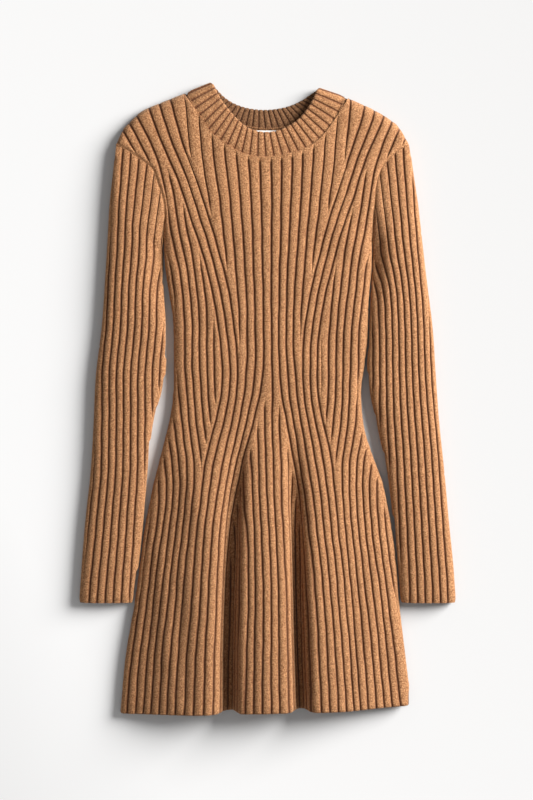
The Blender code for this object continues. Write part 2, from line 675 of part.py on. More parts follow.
def sleeve_columns(section, places, base_step):
    """Keyed columns round a sleeve: ribs over the top, a few plain points underneath."""
    margin = NARROWEST * section.station[6]
    grooves = [(("groove", "edge"), 0.0)]
    grooves += [(("groove", k), place) for k, place in places.items()
                if margin < place < section.top_length - margin]
    grooves.append((("base", 0), section.top_length))
    columns = []
    for (name, start), (_, end) in zip(grooves, grooves[1:]):
        columns.append((name + (0,), start, 0.0, True))
        rise = RIB_RISE * min(1.0, (end - start) / FULL_RIB)
        columns += [(name + (i + 1,), start + (end - start) * share, rise, False)
                    for i, share in enumerate(CREST)]
    for k in range(0, SLEEVE_BASE_POINTS, base_step):
        under = float(section.loop.s[-1]) - section.top_length
        place = section.top_length + under * k / SLEEVE_BASE_POINTS
        columns.append((("base", k, 0), place, 0.0, True))
    return columns


def make_sleeve(side, table, material, collection):
    """A flattened tube from the armhole to the open cuff, flat underneath."""
    seam = armhole(side)
    stations = table[1:]
    first_row = Section(side, seam, stations[0], 1.0)
    guides = {k: first_row.guide(s) for k, s in first_row.own_grooves().items() if s > 0}
    sections = [Section(side, seam, stations[0], share) for share in HEAD_ROWS]
    sections += [Section(side, seam, station, 1.0) for station in stations]
    wall = Wall()
    for section in sections:
        if section.share < 1.0:
            places = {k: section.crossing(guide) for k, guide in guides.items()}
        else:
            places = section.own_grooves()
        step = 1 if section.share == 0.0 else SLEEVE_BASE_STEP
        columns = sleeve_columns(section, places, step)
        wall.add_row([(key, section.place(s, rise)) for key, s, rise, _ in columns],
                     [(key, section.place(s, -WALL)) for key, s, _, groove in columns if groove])
        for rows_made in (wall.outer, wall.inner):
            rows_made[-1].append(("close", rows_made[-1][0][1]))
    wall.close(ring=True)
    return wall.finish("sleeve_" + side, material, collection)


# ---------------------------------------------------------------- neckband and label

def front_neck_points():
    """The neck of the front as its top row leaves it."""
    row = panel_row(row_level("yoke", 0.0, front_neck_y))
    columns = rib_columns(row, True)
    points = [row.point(s, WALL)[:2] for _, s, _, _ in columns]
    return [FRONT_NECK_LINE[1]] + [p for p in points if NECK_LEFT < p[0] < NECK_RIGHT] \
        + [FRONT_NECK_LINE[-1]]


def even_points(points, count, inward=0.0, inset=0.0):
    """Points at even steps along a line round the neck, moved into the neck by a gap.

    The inset is the share of the line that is left free at each end.
    """
    points = np.array(points, float)
    length = np.concatenate(([0], np.cumsum(np.hypot(*np.diff(points, axis=0).T))))
    at = np.linspace(inset, 1 - inset, count) * length[-1]
    even = np.stack([np.interp(at, length, points[:, i]) for i in (0, 1)], axis=1)
    along = np.gradient(even, axis=0)
    across = np.stack([-along[:, 1], along[:, 0]], axis=1)
    near_end = np.abs(np.linspace(-1, 1, count))**BAND_END_SHARPNESS
    step = inward * (1 + (BAND_END_GAP - 1) * near_end)
    return even + across * (step / np.linalg.norm(across, axis=1))[:, None]


def make_neckband(material, collection):
    """One ribbed strip round the neck: its front half on the front, its back half on the back."""
    count = BAND_RIBS * 2
    front_edge = even_points(FRONT_BAND_EDGE[1:], count + 1)
    back_edge = even_points(BACK_BAND_EDGE[1:], count + 1)
    front_seam = even_points(front_neck_points(), count + 1, BAND_GAP, BAND_INSET)
    back_seam = even_points(BACK_NECK_LINE[1:], count + 1, BAND_GAP, BAND_INSET)
    half = BAND_WALL / 2
    loops = []
    for part, edge, seam in (("front", front_edge, front_seam), ("back", back_edge, back_seam)):
        order = range(1, count) if part == "front" else range(count - 1, 0, -1)
        for i in order:
            if part == "front":
                z = max(float(front_height(*seam[i])), BAND_HEIGHT) + half
            else:
                z = half
            loops.append((np.array([*edge[i], z]), np.array([*seam[i], z])))
        fold = -1 if part == "front" else 0
        sign = 1 if part == "front" else -1
        turn_z = (BAND_HEIGHT + BAND_WALL) / 2
        out = np.array([sign * BAND_TURN, 0.0])
        loops.append((np.array([*(edge[fold] + out), turn_z]),
                      np.array([*(seam[fold] - out), turn_z])))
    wall = Wall()
    number = len(loops)
    rows = []
    for face in (1, -1):
        for share in BAND_SHARES[::face]:
            row = []
            for i in range(number):
                edge, seam = loops[i]
                before, after = loops[i - 1], loops[(i + 1) % number]
                middle = edge + (seam - edge) * share
                tangent = (after[0] + after[1]) - (before[0] + before[1])
                normal = np.cross(tangent, edge - seam)
                normal = normal / np.linalg.norm(normal)
                rise = BAND_RISE if i % 2 == 0 else 0.0
                point = middle + normal * face * (half + rise * (face == 1 or normal[2] < 0))
                row.append((i, (point[0], point[1], max(point[2], 0.0))))
            rows.append(row)
    for row in rows:
        wall.add_row(row, [])
        wall.outer[-1].append(("close", wall.outer[-1][0][1]))
    cycle = wall.outer + [wall.outer[0]]
    for first, second in zip(cycle, cycle[1:]):
        wall.zip_rows(first, second)
    return wall.finish("neckband", material, collection)


def make_label(material, collection):
    """A bare tab that lies on the inside of the back, under its neck seam."""
    bpy.ops.mesh.primitive_cube_add(size=1)
    label = bpy.context.active_object
    label.name = "label"
    label.data.name = "label"
    label.scale = [c * MM for c in LABEL_SIZE]
    label.location = ((LABEL_PLACE[0] + ORIGIN_SHIFT[0]) * MM,
                      (LABEL_PLACE[1] + ORIGIN_SHIFT[1]) * MM,
                      (REST + LABEL_SIZE[2] / 2) * MM)
    for owner in list(label.users_collection):
        owner.objects.unlink(label)
    label.data.materials.append(material)
    collection.objects.link(label)
    return label


def make_material(name, colour, roughness):
    material = bpy.data.materials.new(name)
    material.use_nodes = True
    shader = material.node_tree.nodes["Principled BSDF"]
    shader.inputs["Base Color"].default_value = colour
    shader.inputs["Roughness"].default_value = roughness
    shader.inputs["Metallic"].default_value = 0.0
    material.diffuse_color = colour
    return material


def main():
    for item in list(bpy.data.objects):
        bpy.data.objects.remove(item, do_unlink=True)
    collection = bpy.data.collections.new("sweater_dress")
    bpy.context.scene.collection.children.link(collection)
    knit = make_material("camel_rib_knit", CLOTH, CLOTH_ROUGHNESS)
    tape = make_material("white_tape", LABEL_CLOTH, LABEL_ROUGHNESS)
    make_front(knit, collection)
    make_back(knit, collection)
    make_sleeve("left", SLEEVE_LEFT, knit, collection)
    make_sleeve("right", SLEEVE_RIGHT, knit, collection)
    make_neckband(knit, collection)
    make_label(tape, collection)


main()
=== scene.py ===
"""The finished look of a long-sleeved sweater dress in wide rib knit, laid flat on a pale floor.

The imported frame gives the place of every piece.  Lengths are in millimetres until a mesh is made,
and tables give places on the dress before it is moved by SHIFT to the frame's origin.
"""
import math

import bmesh
import bpy
import numpy as np
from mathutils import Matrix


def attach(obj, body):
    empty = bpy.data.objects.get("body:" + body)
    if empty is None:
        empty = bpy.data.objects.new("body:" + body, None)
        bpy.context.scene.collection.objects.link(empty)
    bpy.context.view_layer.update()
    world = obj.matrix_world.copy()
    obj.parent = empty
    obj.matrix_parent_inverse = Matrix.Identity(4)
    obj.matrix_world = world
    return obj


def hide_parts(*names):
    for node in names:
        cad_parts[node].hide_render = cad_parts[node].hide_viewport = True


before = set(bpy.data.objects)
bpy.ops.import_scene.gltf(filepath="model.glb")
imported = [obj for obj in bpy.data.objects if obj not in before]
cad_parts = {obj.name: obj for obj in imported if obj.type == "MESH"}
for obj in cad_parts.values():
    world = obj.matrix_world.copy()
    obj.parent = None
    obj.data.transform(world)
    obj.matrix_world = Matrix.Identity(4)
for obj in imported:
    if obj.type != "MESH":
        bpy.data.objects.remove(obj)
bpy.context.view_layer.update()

MM = 0.001
SHIFT = np.array([0.0, -2.18, 0.0])

# ---------------------------------------------------------------- cloth and seams
WALL = 2.2                  # body and sleeve cloth at the bottom of a gutter
BACK_WALL = 3.0
RIB_RISE = 2.5              # crest of a rib over its gutter
INNER_RISE = 0.8            # the same on the inside of the cloth
BACK_RISE = 0.6             # how much lower the back's upper side is at a rib's crest, seen from it
BACK_PRESS = 1.0            # how far a gutter underneath the back is off the floor
BACK_FLAT = 1.05            # how much wider than its crest a rib is pressed flat there
REST = 3.3                  # inner side of the front where it lies on the back
# One rib across: shares of its width, and how full it is there
RIB_PROFILE = (
    ("across", "fullness"),
    (0.0, 0.0), (0.04, 0.24), (0.10, 0.54), (0.18, 0.78), (0.31, 0.95), (0.5, 1.0),
    (0.69, 0.95), (0.82, 0.78), (0.90, 0.54), (0.96, 0.24),
)
INNER_COLUMNS = (0, 2, 4, 6, 8)     # those of them that the inside has too
BACK_COLUMNS = (0, 1, 3, 5, 7, 9)   # and those of the back
ROW_STEP = 5.0              # from one row of the mesh to the next
NARROWEST = 0.5             # at an edge or in a fold a rib starts at this share of its width
CLOSEST = 1.0               # no gutter lies nearer to an edge than this
EDGE_RIB = 1.5              # at the armhole a rib is this narrow before it ends
FULL_RIB = 6.5              # a narrower rib is lower
FLANKED_RIB = 10.5          # a wider rib has flanks no wider than this one's
EDGE_TAPER = 4.0            # width of the edge along which a rib flattens
NECK_STRIP = 1.5            # plain strip below the neck seam before the gutters start
NECK_SLOPE = 0.8            # the neck seam slants, so it is nearer than the drop below it
ARMHOLE_DEPTH = 0.35        # depth of the dip along the armhole seam, as a share of a gutter's
WANDER = 0.38               # how far a gutter strays from its line
BODY_STRAY = (
    ("length", "turns", "height"),
    (13.0, 3, 1.0), (5.6, 5, 0.8), (41.0, 1, 1.2),
)
SLEEVE_STRAY = (
    ("length", "turns", "height"),
    (15.0, 3, 1.0), (6.1, 5, 1.0),
)
STRAY_STARTS = {"centre": 0.3, "middle": 1.1, "godet": 2.3, "sweep": 3.7, "side": 5.2}
THIN_EDGE = 0.4             # share of the wall that the rounding of a cast-off edge leaves
HEM_EDGE = (0.55, 0.9)      # fullness of the wall at the hem and one row above it
CUFF_EDGE = (0.55, 0.95)    # the same at the cuff

# Front panel
YOKE_DEPTH = 165.0          # from shoulder to underarm, in even rows
HEM_MARGIN = 8.0            # the last level row lies this far above the hem
LINE_SAMPLES = 700          # fine points across the front, and across each turned-down edge
EDGE_SAMPLES = 24
BACK_SAMPLES = 600
END_SAMPLES = 2000          # places at which the end of a row is looked for
CROWN = 10.5                # inner side of the front over the floor, across the bodice
PANEL_ROLL = 15.0           # width of the turned-down side edge
SHOULDER_ROLL = 18.0
UNDERARM = 205.0
ARMHOLE_LEVEL = 250.0       # above this the side edge is an armhole and no longer lies down
GODET_TOP = 2.0             # where the let-in ribs start
STEEPEST = math.radians(70)
BULGE_DOME = 0.12           # how much the middle of the skirt domes between its folds
INNERMOST_EDGE = 0.55       # no row ends further in than this share of the shoulder tip
HEM_ROUND = 1.3             # how far up the cast-off edge is rounded

# Outline of the body.  Left and right are the silhouette; above the underarm they are the armhole.
BODY_EDGES = (
    ("y", "left", "right"),
    (331, -196, 184), (325, -184, 172), (313, -166, 158.5), (303, -152, 150), (282, -142.5, 142),
    (260, -135, 139.5), (240, -133, 138), (214, -134.5, 136), (171, -132.6, 135),
    (140, -128, 132), (109, -123, 130.7), (78, -121.6, 130), (46, -121.6, 126),
    (15, -121.6, 121.6), (-16, -125, 122.5), (-47, -132, 128), (-78, -140, 138.5),
    (-110, -148, 150), (-141, -154.5, 156.5), (-172, -160, 162), (-203, -164, 166),
    (-265, -172.5, 171), (-328, -183.5, 178.5), (-407, -191, 188),
)
SHOULDER_LINE = (
    ("x", "y"),
    (-197, 331), (-187, 352), (-176, 363.5), (-166, 373), (-155, 379), (-141, 384.5),
    (-119, 393.5), (-106, 398), (102, 394), (106, 391), (132, 379.5), (151.5, 369), (167, 358),
    (174, 349), (184, 331),
)
FRONT_NECK_LINE = (
    ("x", "y"),
    (-106, 398), (-101, 389), (-93, 374), (-85, 363.5), (-75, 347.5), (-59, 334), (-46, 325.5),
    (-32, 318.5), (-15, 314.5), (3, 314), (20, 316.5), (42, 322.5), (58, 330.5), (68, 338),
    (79, 351), (90, 366.5), (98, 383), (102, 394),
)
BACK_NECK_LINE = (
    ("x", "y"),
    (-106, 398), (-96, 393), (-80, 383), (-50, 364.5), (-20, 354.5), (0, 353), (20, 354.5),
    (50, 366), (78, 382), (94, 390), (102, 394),
)
HEM_LINE = (
    ("x", "y"),
    (-191, -407), (-120, -405), (0, -401), (100, -400), (188, -396),
)

# Lines that the ribs follow, and the rib widths between them.  The sweep runs from the shoulder
# round the bust to the hem, and the side line from the armhole down the side.  The middle columns
# are the rib widths of the middle bodice, and the left and right rib those of the sweep.
RIB_LINES = (
    ("y", "centre", "rib", "left_middle", "right_middle", "left_side", "left_sweep", "left_rib",
     "right_rib", "right_sweep", "right_side"),
    (395, 4, 14, 15.8, 14.8, -182, -128, 15.5, 15, 129, 172),
    (358, 4, 14, 15.4, 14.4, -164.4, -118, 14.6, 13.6, 120, 160),
    (327, 4, 13, 15, 13.9, -149.5, -108.5, 12.9, 11.6, 110, 147.3),
    (296, 4.5, 10.3, 14.4, 13.4, -138.6, -96.7, 12, 10.9, 99.8, 138),
    (265, 5, 10.4, 13.6, 12.6, -132, -85.5, 11.9, 11, 89.8, 133.5),
    (234, 5, 10.2, 12.9, 12, -127.4, -75.7, 11.7, 10.7, 79.6, 128),
    (202, 5, 10.1, 12.2, 11.2, -121, -66.3, 11.2, 10.2, 70.6, 122),
    (171, 4.6, 9.8, 11.5, 10.6, -115, -57.7, 10.8, 10.2, 62.7, 117),
    (140, 4.6, 9.7, 10.9, 10.1, -110.5, -50.8, 10.6, 10, 55.6, 113.5),
    (109, 4.6, 9.6, 10.5, 9.6, -108, -45.8, 10.2, 9.7, 50.1, 110),
    (78, 4.8, 9.5, 10.4, 9.4, -107.5, -41.9, 9.9, 9.3, 46.7, 107.6),
    (46, 5.3, 9.4, 10.4, 9.4, -107, -39.6, 9.7, 9.4, 45.4, 107),
    (15, 5.8, 9.2, 10.4, 9.4, -105.2, -39.8, 9.8, 8.8, 46.5, 106),
    (-16, 5.6, 9.3, 10.4, 9.4, -103, -44.1, 10.2, 9.2, 50.2, 104.5),
    (-47, 6, 9.4, 10.4, 9.4, -99.5, -50.8, 11, 10, 55.6, 101.5),
    (-78, 7, 9.4, 10.4, 9.4, -95.5, -58, 11, 10.3, 61, 96.5),
    (-110, 7.6, 9.2, 10.4, 9.4, -94.6, -64, 10.1, 9.7, 65.9, 95.3),
    (-141, 8.4, 9, 10.4, 9.4, -97, -68.5, 9.5, 9.4, 69.4, 97),
    (-172, 10, 9, 10.4, 9.4, -100.5, -71.8, 9.4, 9.1, 72.5, 99.5),
    (-203, 11.5, 9.2, 10.4, 9.4, -104, -73.8, 9.7, 9.3, 76, 102.5),
    (-265, 13.6, 9.7, 10.4, 9.4, -109, -76.7, 10.1, 9, 81.5, 108.5),
    (-328, 14, 10.3, 10.4, 9.4, -114.4, -80, 11.4, 9.6, 86, 113.5),
    (-407, 15, 10.9, 10.4, 9.4, -118, -82, 12, 10.2, 90.4, 119),
)
MIDDLE_RIBS = 8             # ribs of the middle bodice counted out from the centre gutter
BUNDLE_RIBS = 3             # of them, those that go on into the skirt beside the sweep
SWEEP_RIBS = 3
SIDE_RIBS = range(-5, 9)    # counted outwards from the side line
GODET_RIBS = 14
BUNDLE_BLEND = (50.0, -25.0)    # where the bodice ribs turn into the skirt's bundle
EVEN_BLEND = (62.0, 34.0)       # where they become evenly spaced between centre and sweep
MIDDLE_RIBS_END = 58.0      # lowest row that has the middle ribs outside the bundle
SIDE_SPLIT_TOP = 300.0      # above this no gutter lies between the sweep and the side line
NEW_RIB = 3.2               # a gutter beside the sweep starts and ends this far from it
FADE = 4.0                  # over this distance it gets its depth, and along its length over more
LONG_FADE = 14.0

# Two long folds of the skirt: where the panel's crest, the fold's floor and the middle crest lie
SKIRT_FOLDS = (
    ("y", "left_crest", "left_floor", "left_bulge", "right_bulge", "right_floor", "right_crest",
     "crest", "bulge", "floor"),
    (-15, -57, -28, -10, 14, 27, 51, 10.5, 10.5, 10.5),
    (-47, -61, -33, -15, 15, 29, 54, 13.5, 13, 11.3),
    (-78, -65, -35, -18, 15, 31, 57, 17, 17, 10.5),
    (-110, -68, -37, -21, 15, 33, 59, 20.5, 21, 9.5),
    (-172, -72, -42, -24, 16, 36, 61, 26, 27, 7.5),
    (-265, -76, -47, -27, 18, 38, 62, 31, 32, 6),
    (-407, -78, -47, -28, 21, 43, 66, 33, 34, 5),
)
# Soft ridges and troughs of the cloth: from one end to the other, width to each side, height
CREASES = (
    ("x1", "y1", "x2", "y2", "width", "height"),
    (-104, 205, -60, 236, 15, 1.5), (-98, 172, -52, 190, 12, -1.1),
    (108, 208, 66, 232, 15, 1.3), (104, 178, 70, 186, 12, -1.0),
    (-92, 92, -34, 82, 11, -0.9), (88, 70, 38, 80, 12, -0.9), (-88, 40, -40, 52, 12, 0.8),
    (92, 30, 44, 44, 12, 0.8), (-20, 130, 26, 122, 16, -0.6), (-112, -60, -88, -150, 13, 1.4),
    (118, -40, 92, -130, 13, 1.3), (-140, -200, -128, -330, 12, 1.6),
    (146, -180, 134, -310, 12, 1.6), (-112, -250, -104, -380, 11, -1.5),
    (112, -240, 106, -370, 11, -1.4),
)
WAVE_HEIGHT = 0.35          # of the slow unevenness all over the front
CREASE_MARGIN = 6.0         # creases start this far from a side edge, and are whole further in
CREASE_REACH = 26.0
SHOULDER_MARGIN = 4.0
SHOULDER_REACH = 30.0

# ---------------------------------------------------------------- sleeves
# Outer and inner silhouette, the height of the top, how far along the cloth the first gutter lies
# from the outer edge, and the rib width.  The first row slants, so its ribs are wider.
SLEEVE_LEFT = (
    ("y_outer", "x_outer", "y_inner", "x_inner", "height", "first", "rib"),
    (250, -204, 196, -137.5, 17, 7.5, 11.6),
    (170, -208, 150, -137, 17.5, 8, 9.3),
    (97, -213, 90, -133.5, 17.5, 9.1, 9.15),
    (32, -221, 30, -134.5, 17, 11.6, 9.2),
    (-30, -224, -30, -150, 16.5, 14.4, 9.2),
    (-95, -228, -95, -157, 16, 16.8, 9.3),
    (-160, -235, -160, -163, 15.5, 17.7, 9.7),
    (-220, -240, -220, -169.5, 15, 16.6, 10.1),
    (-263, -243, -263, -175.5, 14.5, 15.4, 10.4),
)
SLEEVE_RIGHT = (
    ("y_outer", "x_outer", "y_inner", "x_inner", "height", "first", "rib"),
    (250, 194.5, 196, 138.5, 17, -0.8, 12.1),
    (170, 203, 150, 136.5, 17.5, 3.5, 8.5),
    (97, 212, 90, 133.6, 17.5, 7, 8.2),
    (32, 216.5, 30, 131.5, 17, 9, 8.4),
    (-30, 221, -30, 143, 16.5, 8.2, 8.9),
    (-95, 228, -95, 157, 16, 10, 9.1),
    (-160, 234, -160, 165, 15.5, 11.8, 9.3),
    (-220, 240, -220, 171, 15, 13, 9.6),
    (-263, 243, -263, 174.5, 14.5, 13.8, 9.8),
)
SLEEVE_RIBS = range(-1, 12)     # counted from the first gutter inwards
SLEEVE_LEAN = (0.04, 0.11)  # how the ribs lean at the armhole, at the outer edge and more inwards
PLAN_SAMPLES = 400
SLEEVE_EDGE_HEIGHT = 0.38   # height of the widest point, as a share of the sleeve's height
SLEEVE_FULLNESS = 2.7       # exponent of the rounded top
SLEEVE_CORNER = 1.1         # width of the turn underneath, of the height of the widest point
SLEEVE_SAMPLES = 220
CORNER_SAMPLES = 16
BASE_SAMPLES = 12
HEAD_EDGE = 2.7             # height of the widest point at the armhole, and its fullness
HEAD_FULLNESS = 8.0
SLEEVE_CLEARANCE = 0.5      # between the sleeve head and the armhole, in plan
UNDER_RIBS = 9              # pressed flat underneath
UNDERARM_DIP = 6.5          # how far the sleeve sinks beside the underarm
DIP_DROP = 25.0             # how far below the underarm the dip is deepest
DIP_LENGTH = 62.0
DIP_PLACE = 0.94            # share of the way across the sleeve, and the dip's width in such shares
DIP_WIDTH = 0.18
CREASED_HEIGHT = 9.0        # from this height up the sleeve's creases have their full depth
ELBOW = 40.0
ELBOW_REACH = 70.0
SLEEVE_WAVE = 0.8           # height of the waves, at its least and how much more at the elbow
CALM_WAVES = 0.3
ELBOW_WAVES = 0.9
HEAD_STEPS = 14             # rows of the mesh from the armhole to the sleeve's own first row

# ---------------------------------------------------------------- neckband and label
BAND_WALL = 3.0
BAND_RISE = 1.1
BAND_RIBS = 26              # on the front; the back has the same
BAND_HEIGHT = 7.0           # inner side of the band where it folds over at the shoulders
BAND_GAP = 0.6
BAND_END_GAP = 2.5          # how many times wider the gap is where the band folds over
BAND_END_SHARPNESS = 14
BAND_TURN = 2.6             # how far the fold at a shoulder stands out
BAND_INSET = 0.008          # share of the seam left free at each shoulder
BAND_OUTSIDE = (0.0, 0.05, 0.16, 0.3, 0.45, 0.6, 0.75, 0.9)     # rows from seam to free edge
BAND_INSIDE = (0.85, 0.65, 0.45, 0.25, 0.05, 0.0)               # and back again
BAND_ROW = 2.0
BAND_TUCK = 0.55            # how much thinner the band is at its seam
SEAM_RISE = 0.35            # share of the rib's rise that the tuck doesn't take away
TUCK_REACH = 2.2 / 18       # share of the band's height over which it gets its thickness
FRONT_BAND_EDGE = (
    ("x", "y"),
    (-71.5, 410), (-62.5, 391.5), (-51.5, 376.5), (-36, 359.5), (-27, 352.5), (-16, 348),
    (0, 346), (16, 349), (29, 355), (41, 363.5), (49, 372.5), (56, 383), (61.5, 393), (65, 403),
)
BACK_BAND_EDGE = (
    ("x", "y"),
    (-71.5, 410), (-65, 402), (-57, 394), (-46, 386.5), (-31, 380.5), (-15, 377.5), (1, 377),
    (17, 379), (33, 383.5), (46, 390), (56.5, 397), (65, 403),
)
LABEL_SIZE = (28.0, 12.0, 0.6)
LABEL_PLACE = (-1.0, 344.5)
LABEL_GRID = (29, 9)
LABEL_LIFT = 0.12           # how far the tape stands off its place between its ends
EDGE_STEPS = 7              # round the neckband's free edge
FOLD_STEPS = 9              # round its fold at each shoulder

# ---------------------------------------------------------------- linking stitches
NECK_STITCH = {"Spacing": 2.3 * MM, "Length": 2.5 * MM, "Width": 0.75 * MM, "Height": 0.7 * MM,
               "Splay": 0.32}
ARMHOLE_STITCH = {"Spacing": 2.4 * MM, "Length": 2.6 * MM, "Width": 1.1 * MM, "Height": 1.0 * MM,
                  "Splay": 0.25}
NECK_STITCH_RISE = 1.5      # how high the stitches lie over the wall beside them
ARMHOLE_STITCH_RISE = 0.7

# ---------------------------------------------------------------- cut of the cloth, in metres
FRONT_SHEET = (0.48, 0.80, 0.270)
BACK_SHEET = (0.40, 0.80, 0.230)
SLEEVE_SHEET = (0.30, 0.60, 0.110)
BAND_SHEET = (0.46, 0.04, 0.016)

# ---------------------------------------------------------------- colours and studio
LIGHT_FIBRE = (0.585, 0.298, 0.138, 1.0)
DARK_FIBRE = (0.215, 0.083, 0.029, 1.0)
# painted shade in the gutters between the ribs, darker and redder than the wool
GUTTER_SHADE_COLOUR = (0.098, 0.027, 0.009, 1.0)
INNER_SHADE = 0.50          # painted shade: share of the full tone kept deep between the layers
FIBRE_SCALE = 640.0         # marks of a noise to a metre
CLUMP_SCALE = 460.0
DRIFT_SCALE = 14.0
THREAD_SCALE = 1600.0
CLUMP_TONES = (0.34, 1.70)
DRIFT_TONES = (0.9, 1.1)
# painted shade between the loops of each stitch, a little lighter on their tops
STITCH_SHADE_TONES = (0.84, 1.06)
GUTTER_EDGE = (0.38, 0.60)  # distance from the middle of a rib at which the painted shade of its gutter starts
GUTTER_SHADE_STRENGTH = 0.88
GUTTER_LOOPS = 0.08         # how far the loops and the clumps of wool move that edge
GUTTER_CLUMPS = 0.16
SHEEN = 0.22
KEY_ELEVATION = math.radians(27)
KEY_BEARING = math.radians(25)      # from the right, turned towards the neck
KEY_SPREAD = math.radians(34)
KEY_DISTANCE = 2.6
KEY_PLACE = (KEY_DISTANCE * math.cos(KEY_ELEVATION) * math.cos(KEY_BEARING),
             KEY_DISTANCE * math.cos(KEY_ELEVATION) * math.sin(KEY_BEARING),
             KEY_DISTANCE * math.sin(KEY_ELEVATION))
KEY_POWER = 24.6 * KEY_DISTANCE**2
FILL_STRENGTH = 0.26
KEY_SHARE = 0.79            # of the light on the floor under the middle of the dress
FLOOR_TONE = 0.74
DIMMEST = 0.76              # the floor is evened out down to this share of the light there
CAMERA_HEIGHT = 1.7
CAMERA_LEVEL = 0.006        # the height at which the view is VIEW_LENGTH long
CAMERA_PLACE = (-0.0013, -0.0025)
VIEW_LENGTH = 1.04


# ================================================================ curves and outlines
def smooth_curve(stations, values):
    """A curve through the values that turns smoothly at each station."""
    order = np.argsort(stations)
    at = np.asarray(stations, float)[order]
    value = np.asarray(values, float)[order]
    slope = np.gradient(value, at)

    def curve(position):
        position = np.asarray(position, float)
        i = np.clip(np.searchsorted(at, position) - 1, 0, len(at) - 2)
        span = at[i + 1] - at[i]
        t = np.clip((position - at[i]) / span, 0, 1)
        beyond = position - np.clip(position, at[0], at[-1])
        end_slope = np.where(beyond > 0, slope[-1], slope[0])
        return ((2 * t**3 - 3 * t**2 + 1) * value[i] + (t**3 - 2 * t**2 + t) * span * slope[i]
                + (3 * t**2 - 2 * t**3) * value[i + 1] + (t**3 - t**2) * span * slope[i + 1]
                + beyond * end_slope)
    return curve


def read_table(table):
    """One smooth curve for each named column of a table, read by its first column."""
    rows = np.array(table[1:], float)
    return {name: smooth_curve(rows[:, 0], rows[:, i]) for i, name in enumerate(table[0])}


def straight_line(table):
    """The table's second column by its first, straight between its points."""
    rows = np.array(table[1:], float)
    return lambda position: np.interp(position, rows[:, 0], rows[:, 1])


def ease(t):
    t = np.clip(t, 0, 1)
    return t * t * (3 - 2 * t)


def rolled(distance, width):
    """Share of the full height at a distance from an edge that turns down in a quarter round."""
    t = np.clip(distance / width, 0, 1)
    return np.sqrt(1 - (1 - t)**2)


EDGES = read_table(BODY_EDGES)
LINES = read_table(RIB_LINES)
FOLDS = read_table(SKIRT_FOLDS)
shoulder_y = straight_line(SHOULDER_LINE)
front_neck_y = straight_line(FRONT_NECK_LINE)
back_neck_y = straight_line(BACK_NECK_LINE)
hem_y = straight_line(HEM_LINE)
NECK_LEFT = FRONT_NECK_LINE[1][0]
NECK_RIGHT = FRONT_NECK_LINE[-1][0]


def top_y(x, neck_y):
    """The panel's top outline: its shoulders, and its neck between them."""
    inside_neck = (x > NECK_LEFT) & (x < NECK_RIGHT)
    return np.where(inside_neck, neck_y(x), shoulder_y(x))


# ---------------------------------------------------------------- heights of the front panel

def soft_step(along, run, rise):
    """Height along an S-shaped rise: two equal arcs, with a straight flank where it is steep."""
    if rise < 1e-6:
        return np.zeros_like(along)
    angle = 2 * math.atan2(rise, run)
    if angle < STEEPEST:
        radius = run / (2 * math.sin(angle))
    else:
        angle = STEEPEST
        radius = (run * math.tan(angle) - rise) / (1 / math.cos(angle) - 1) / 2
    reach = radius * math.sin(angle)
    lift = radius * (1 - math.cos(angle))
    start = radius - np.sqrt(np.maximum(radius**2 - np.minimum(along, reach)**2, 0))
    end = rise - radius + np.sqrt(np.maximum(radius**2 - np.minimum(run - along, reach)**2, 0))
    flank = lift + (along - reach) * math.tan(angle)
    return np.where(along <= reach, start, np.where(along >= run - reach, end, flank))


def skirt_height(x, y):
    """Inner side of the skirt over the floor, across one row, before its edges turn down."""
    fold = {name: float(curve(y)) for name, curve in FOLDS.items()}
    height = np.full_like(x, CROWN)
    for sign, side in ((-1, "left"), (1, "right")):
        edge = abs(float(EDGES[side](y)))
        crest, floor, bulge = (sign * fold[side + name] for name in ("_crest", "_floor", "_bulge"))
        out = x * sign
        rise = fold["crest"] - CROWN
        panel = CROWN + rise * ease((edge - out) / (edge - crest))
        down = fold["crest"] - soft_step(np.clip(crest - out, 0, crest - floor), crest - floor,
                                         fold["crest"] - fold["floor"])
        up = fold["bulge"] - soft_step(np.clip(out - bulge, 0, floor - bulge), floor - bulge,
                                       fold["bulge"] - fold["floor"])
        height = np.where(out > bulge, up, height)
        height = np.where(out > floor, down, height)
        height = np.where(out > crest, panel, height)
    across = (x - fold["left_bulge"]) / (fold["right_bulge"] - fold["left_bulge"])
    dome = BULGE_DOME * (fold["bulge"] - CROWN) * (1 - np.cos(2 * math.pi * across)) / 2
    return np.where((across > 0) & (across < 1), fold["bulge"] + dome, height)


def front_height(x, y):
    """Inner side of the front over the floor."""
    x, y = np.broadcast_arrays(np.asarray(x, float), np.asarray(y, float))
    level = float(np.mean(y))
    full = skirt_height(x, level) if level < SKIRT_FOLDS[1][0] else np.full(x.shape, CROWN)
    near = np.minimum(x - EDGES["left"](y) - WALL, EDGES["right"](y) - WALL - x)
    lifted = ease((y - UNDERARM) / (ARMHOLE_LEVEL - UNDERARM))
    side = rolled(near, PANEL_ROLL)
    side = side + (1 - side) * lifted
    shoulder = rolled(shoulder_y(x) - y, SHOULDER_ROLL)
    return REST + (full - REST) * side * shoulder


def crease_height(x, y):
    """Soft ridges and troughs over the smooth form."""
    total = np.zeros(np.broadcast(x, y).shape)
    for x1, y1, x2, y2, width, height in CREASES[1:]:
        run = math.hypot(x2 - x1, y2 - y1)
        along = ((x - x1) * (x2 - x1) + (y - y1) * (y2 - y1)) / run
        aside = ((x - x1) * (y2 - y1) - (y - y1) * (x2 - x1)) / run
        past = np.maximum(np.abs(along - run / 2) - run / 2, 0)
        total = total + height * np.exp(-(aside / width)**2 - (past / (1.4 * width))**2)
    waves = (np.sin(x / 17 + y / 61) * np.sin(y / 37 - x / 83)
             + 0.6 * np.sin(x / 9.5 - y / 43 + 1.3) * np.sin(y / 23 + 0.7))
    return total + WAVE_HEIGHT * waves


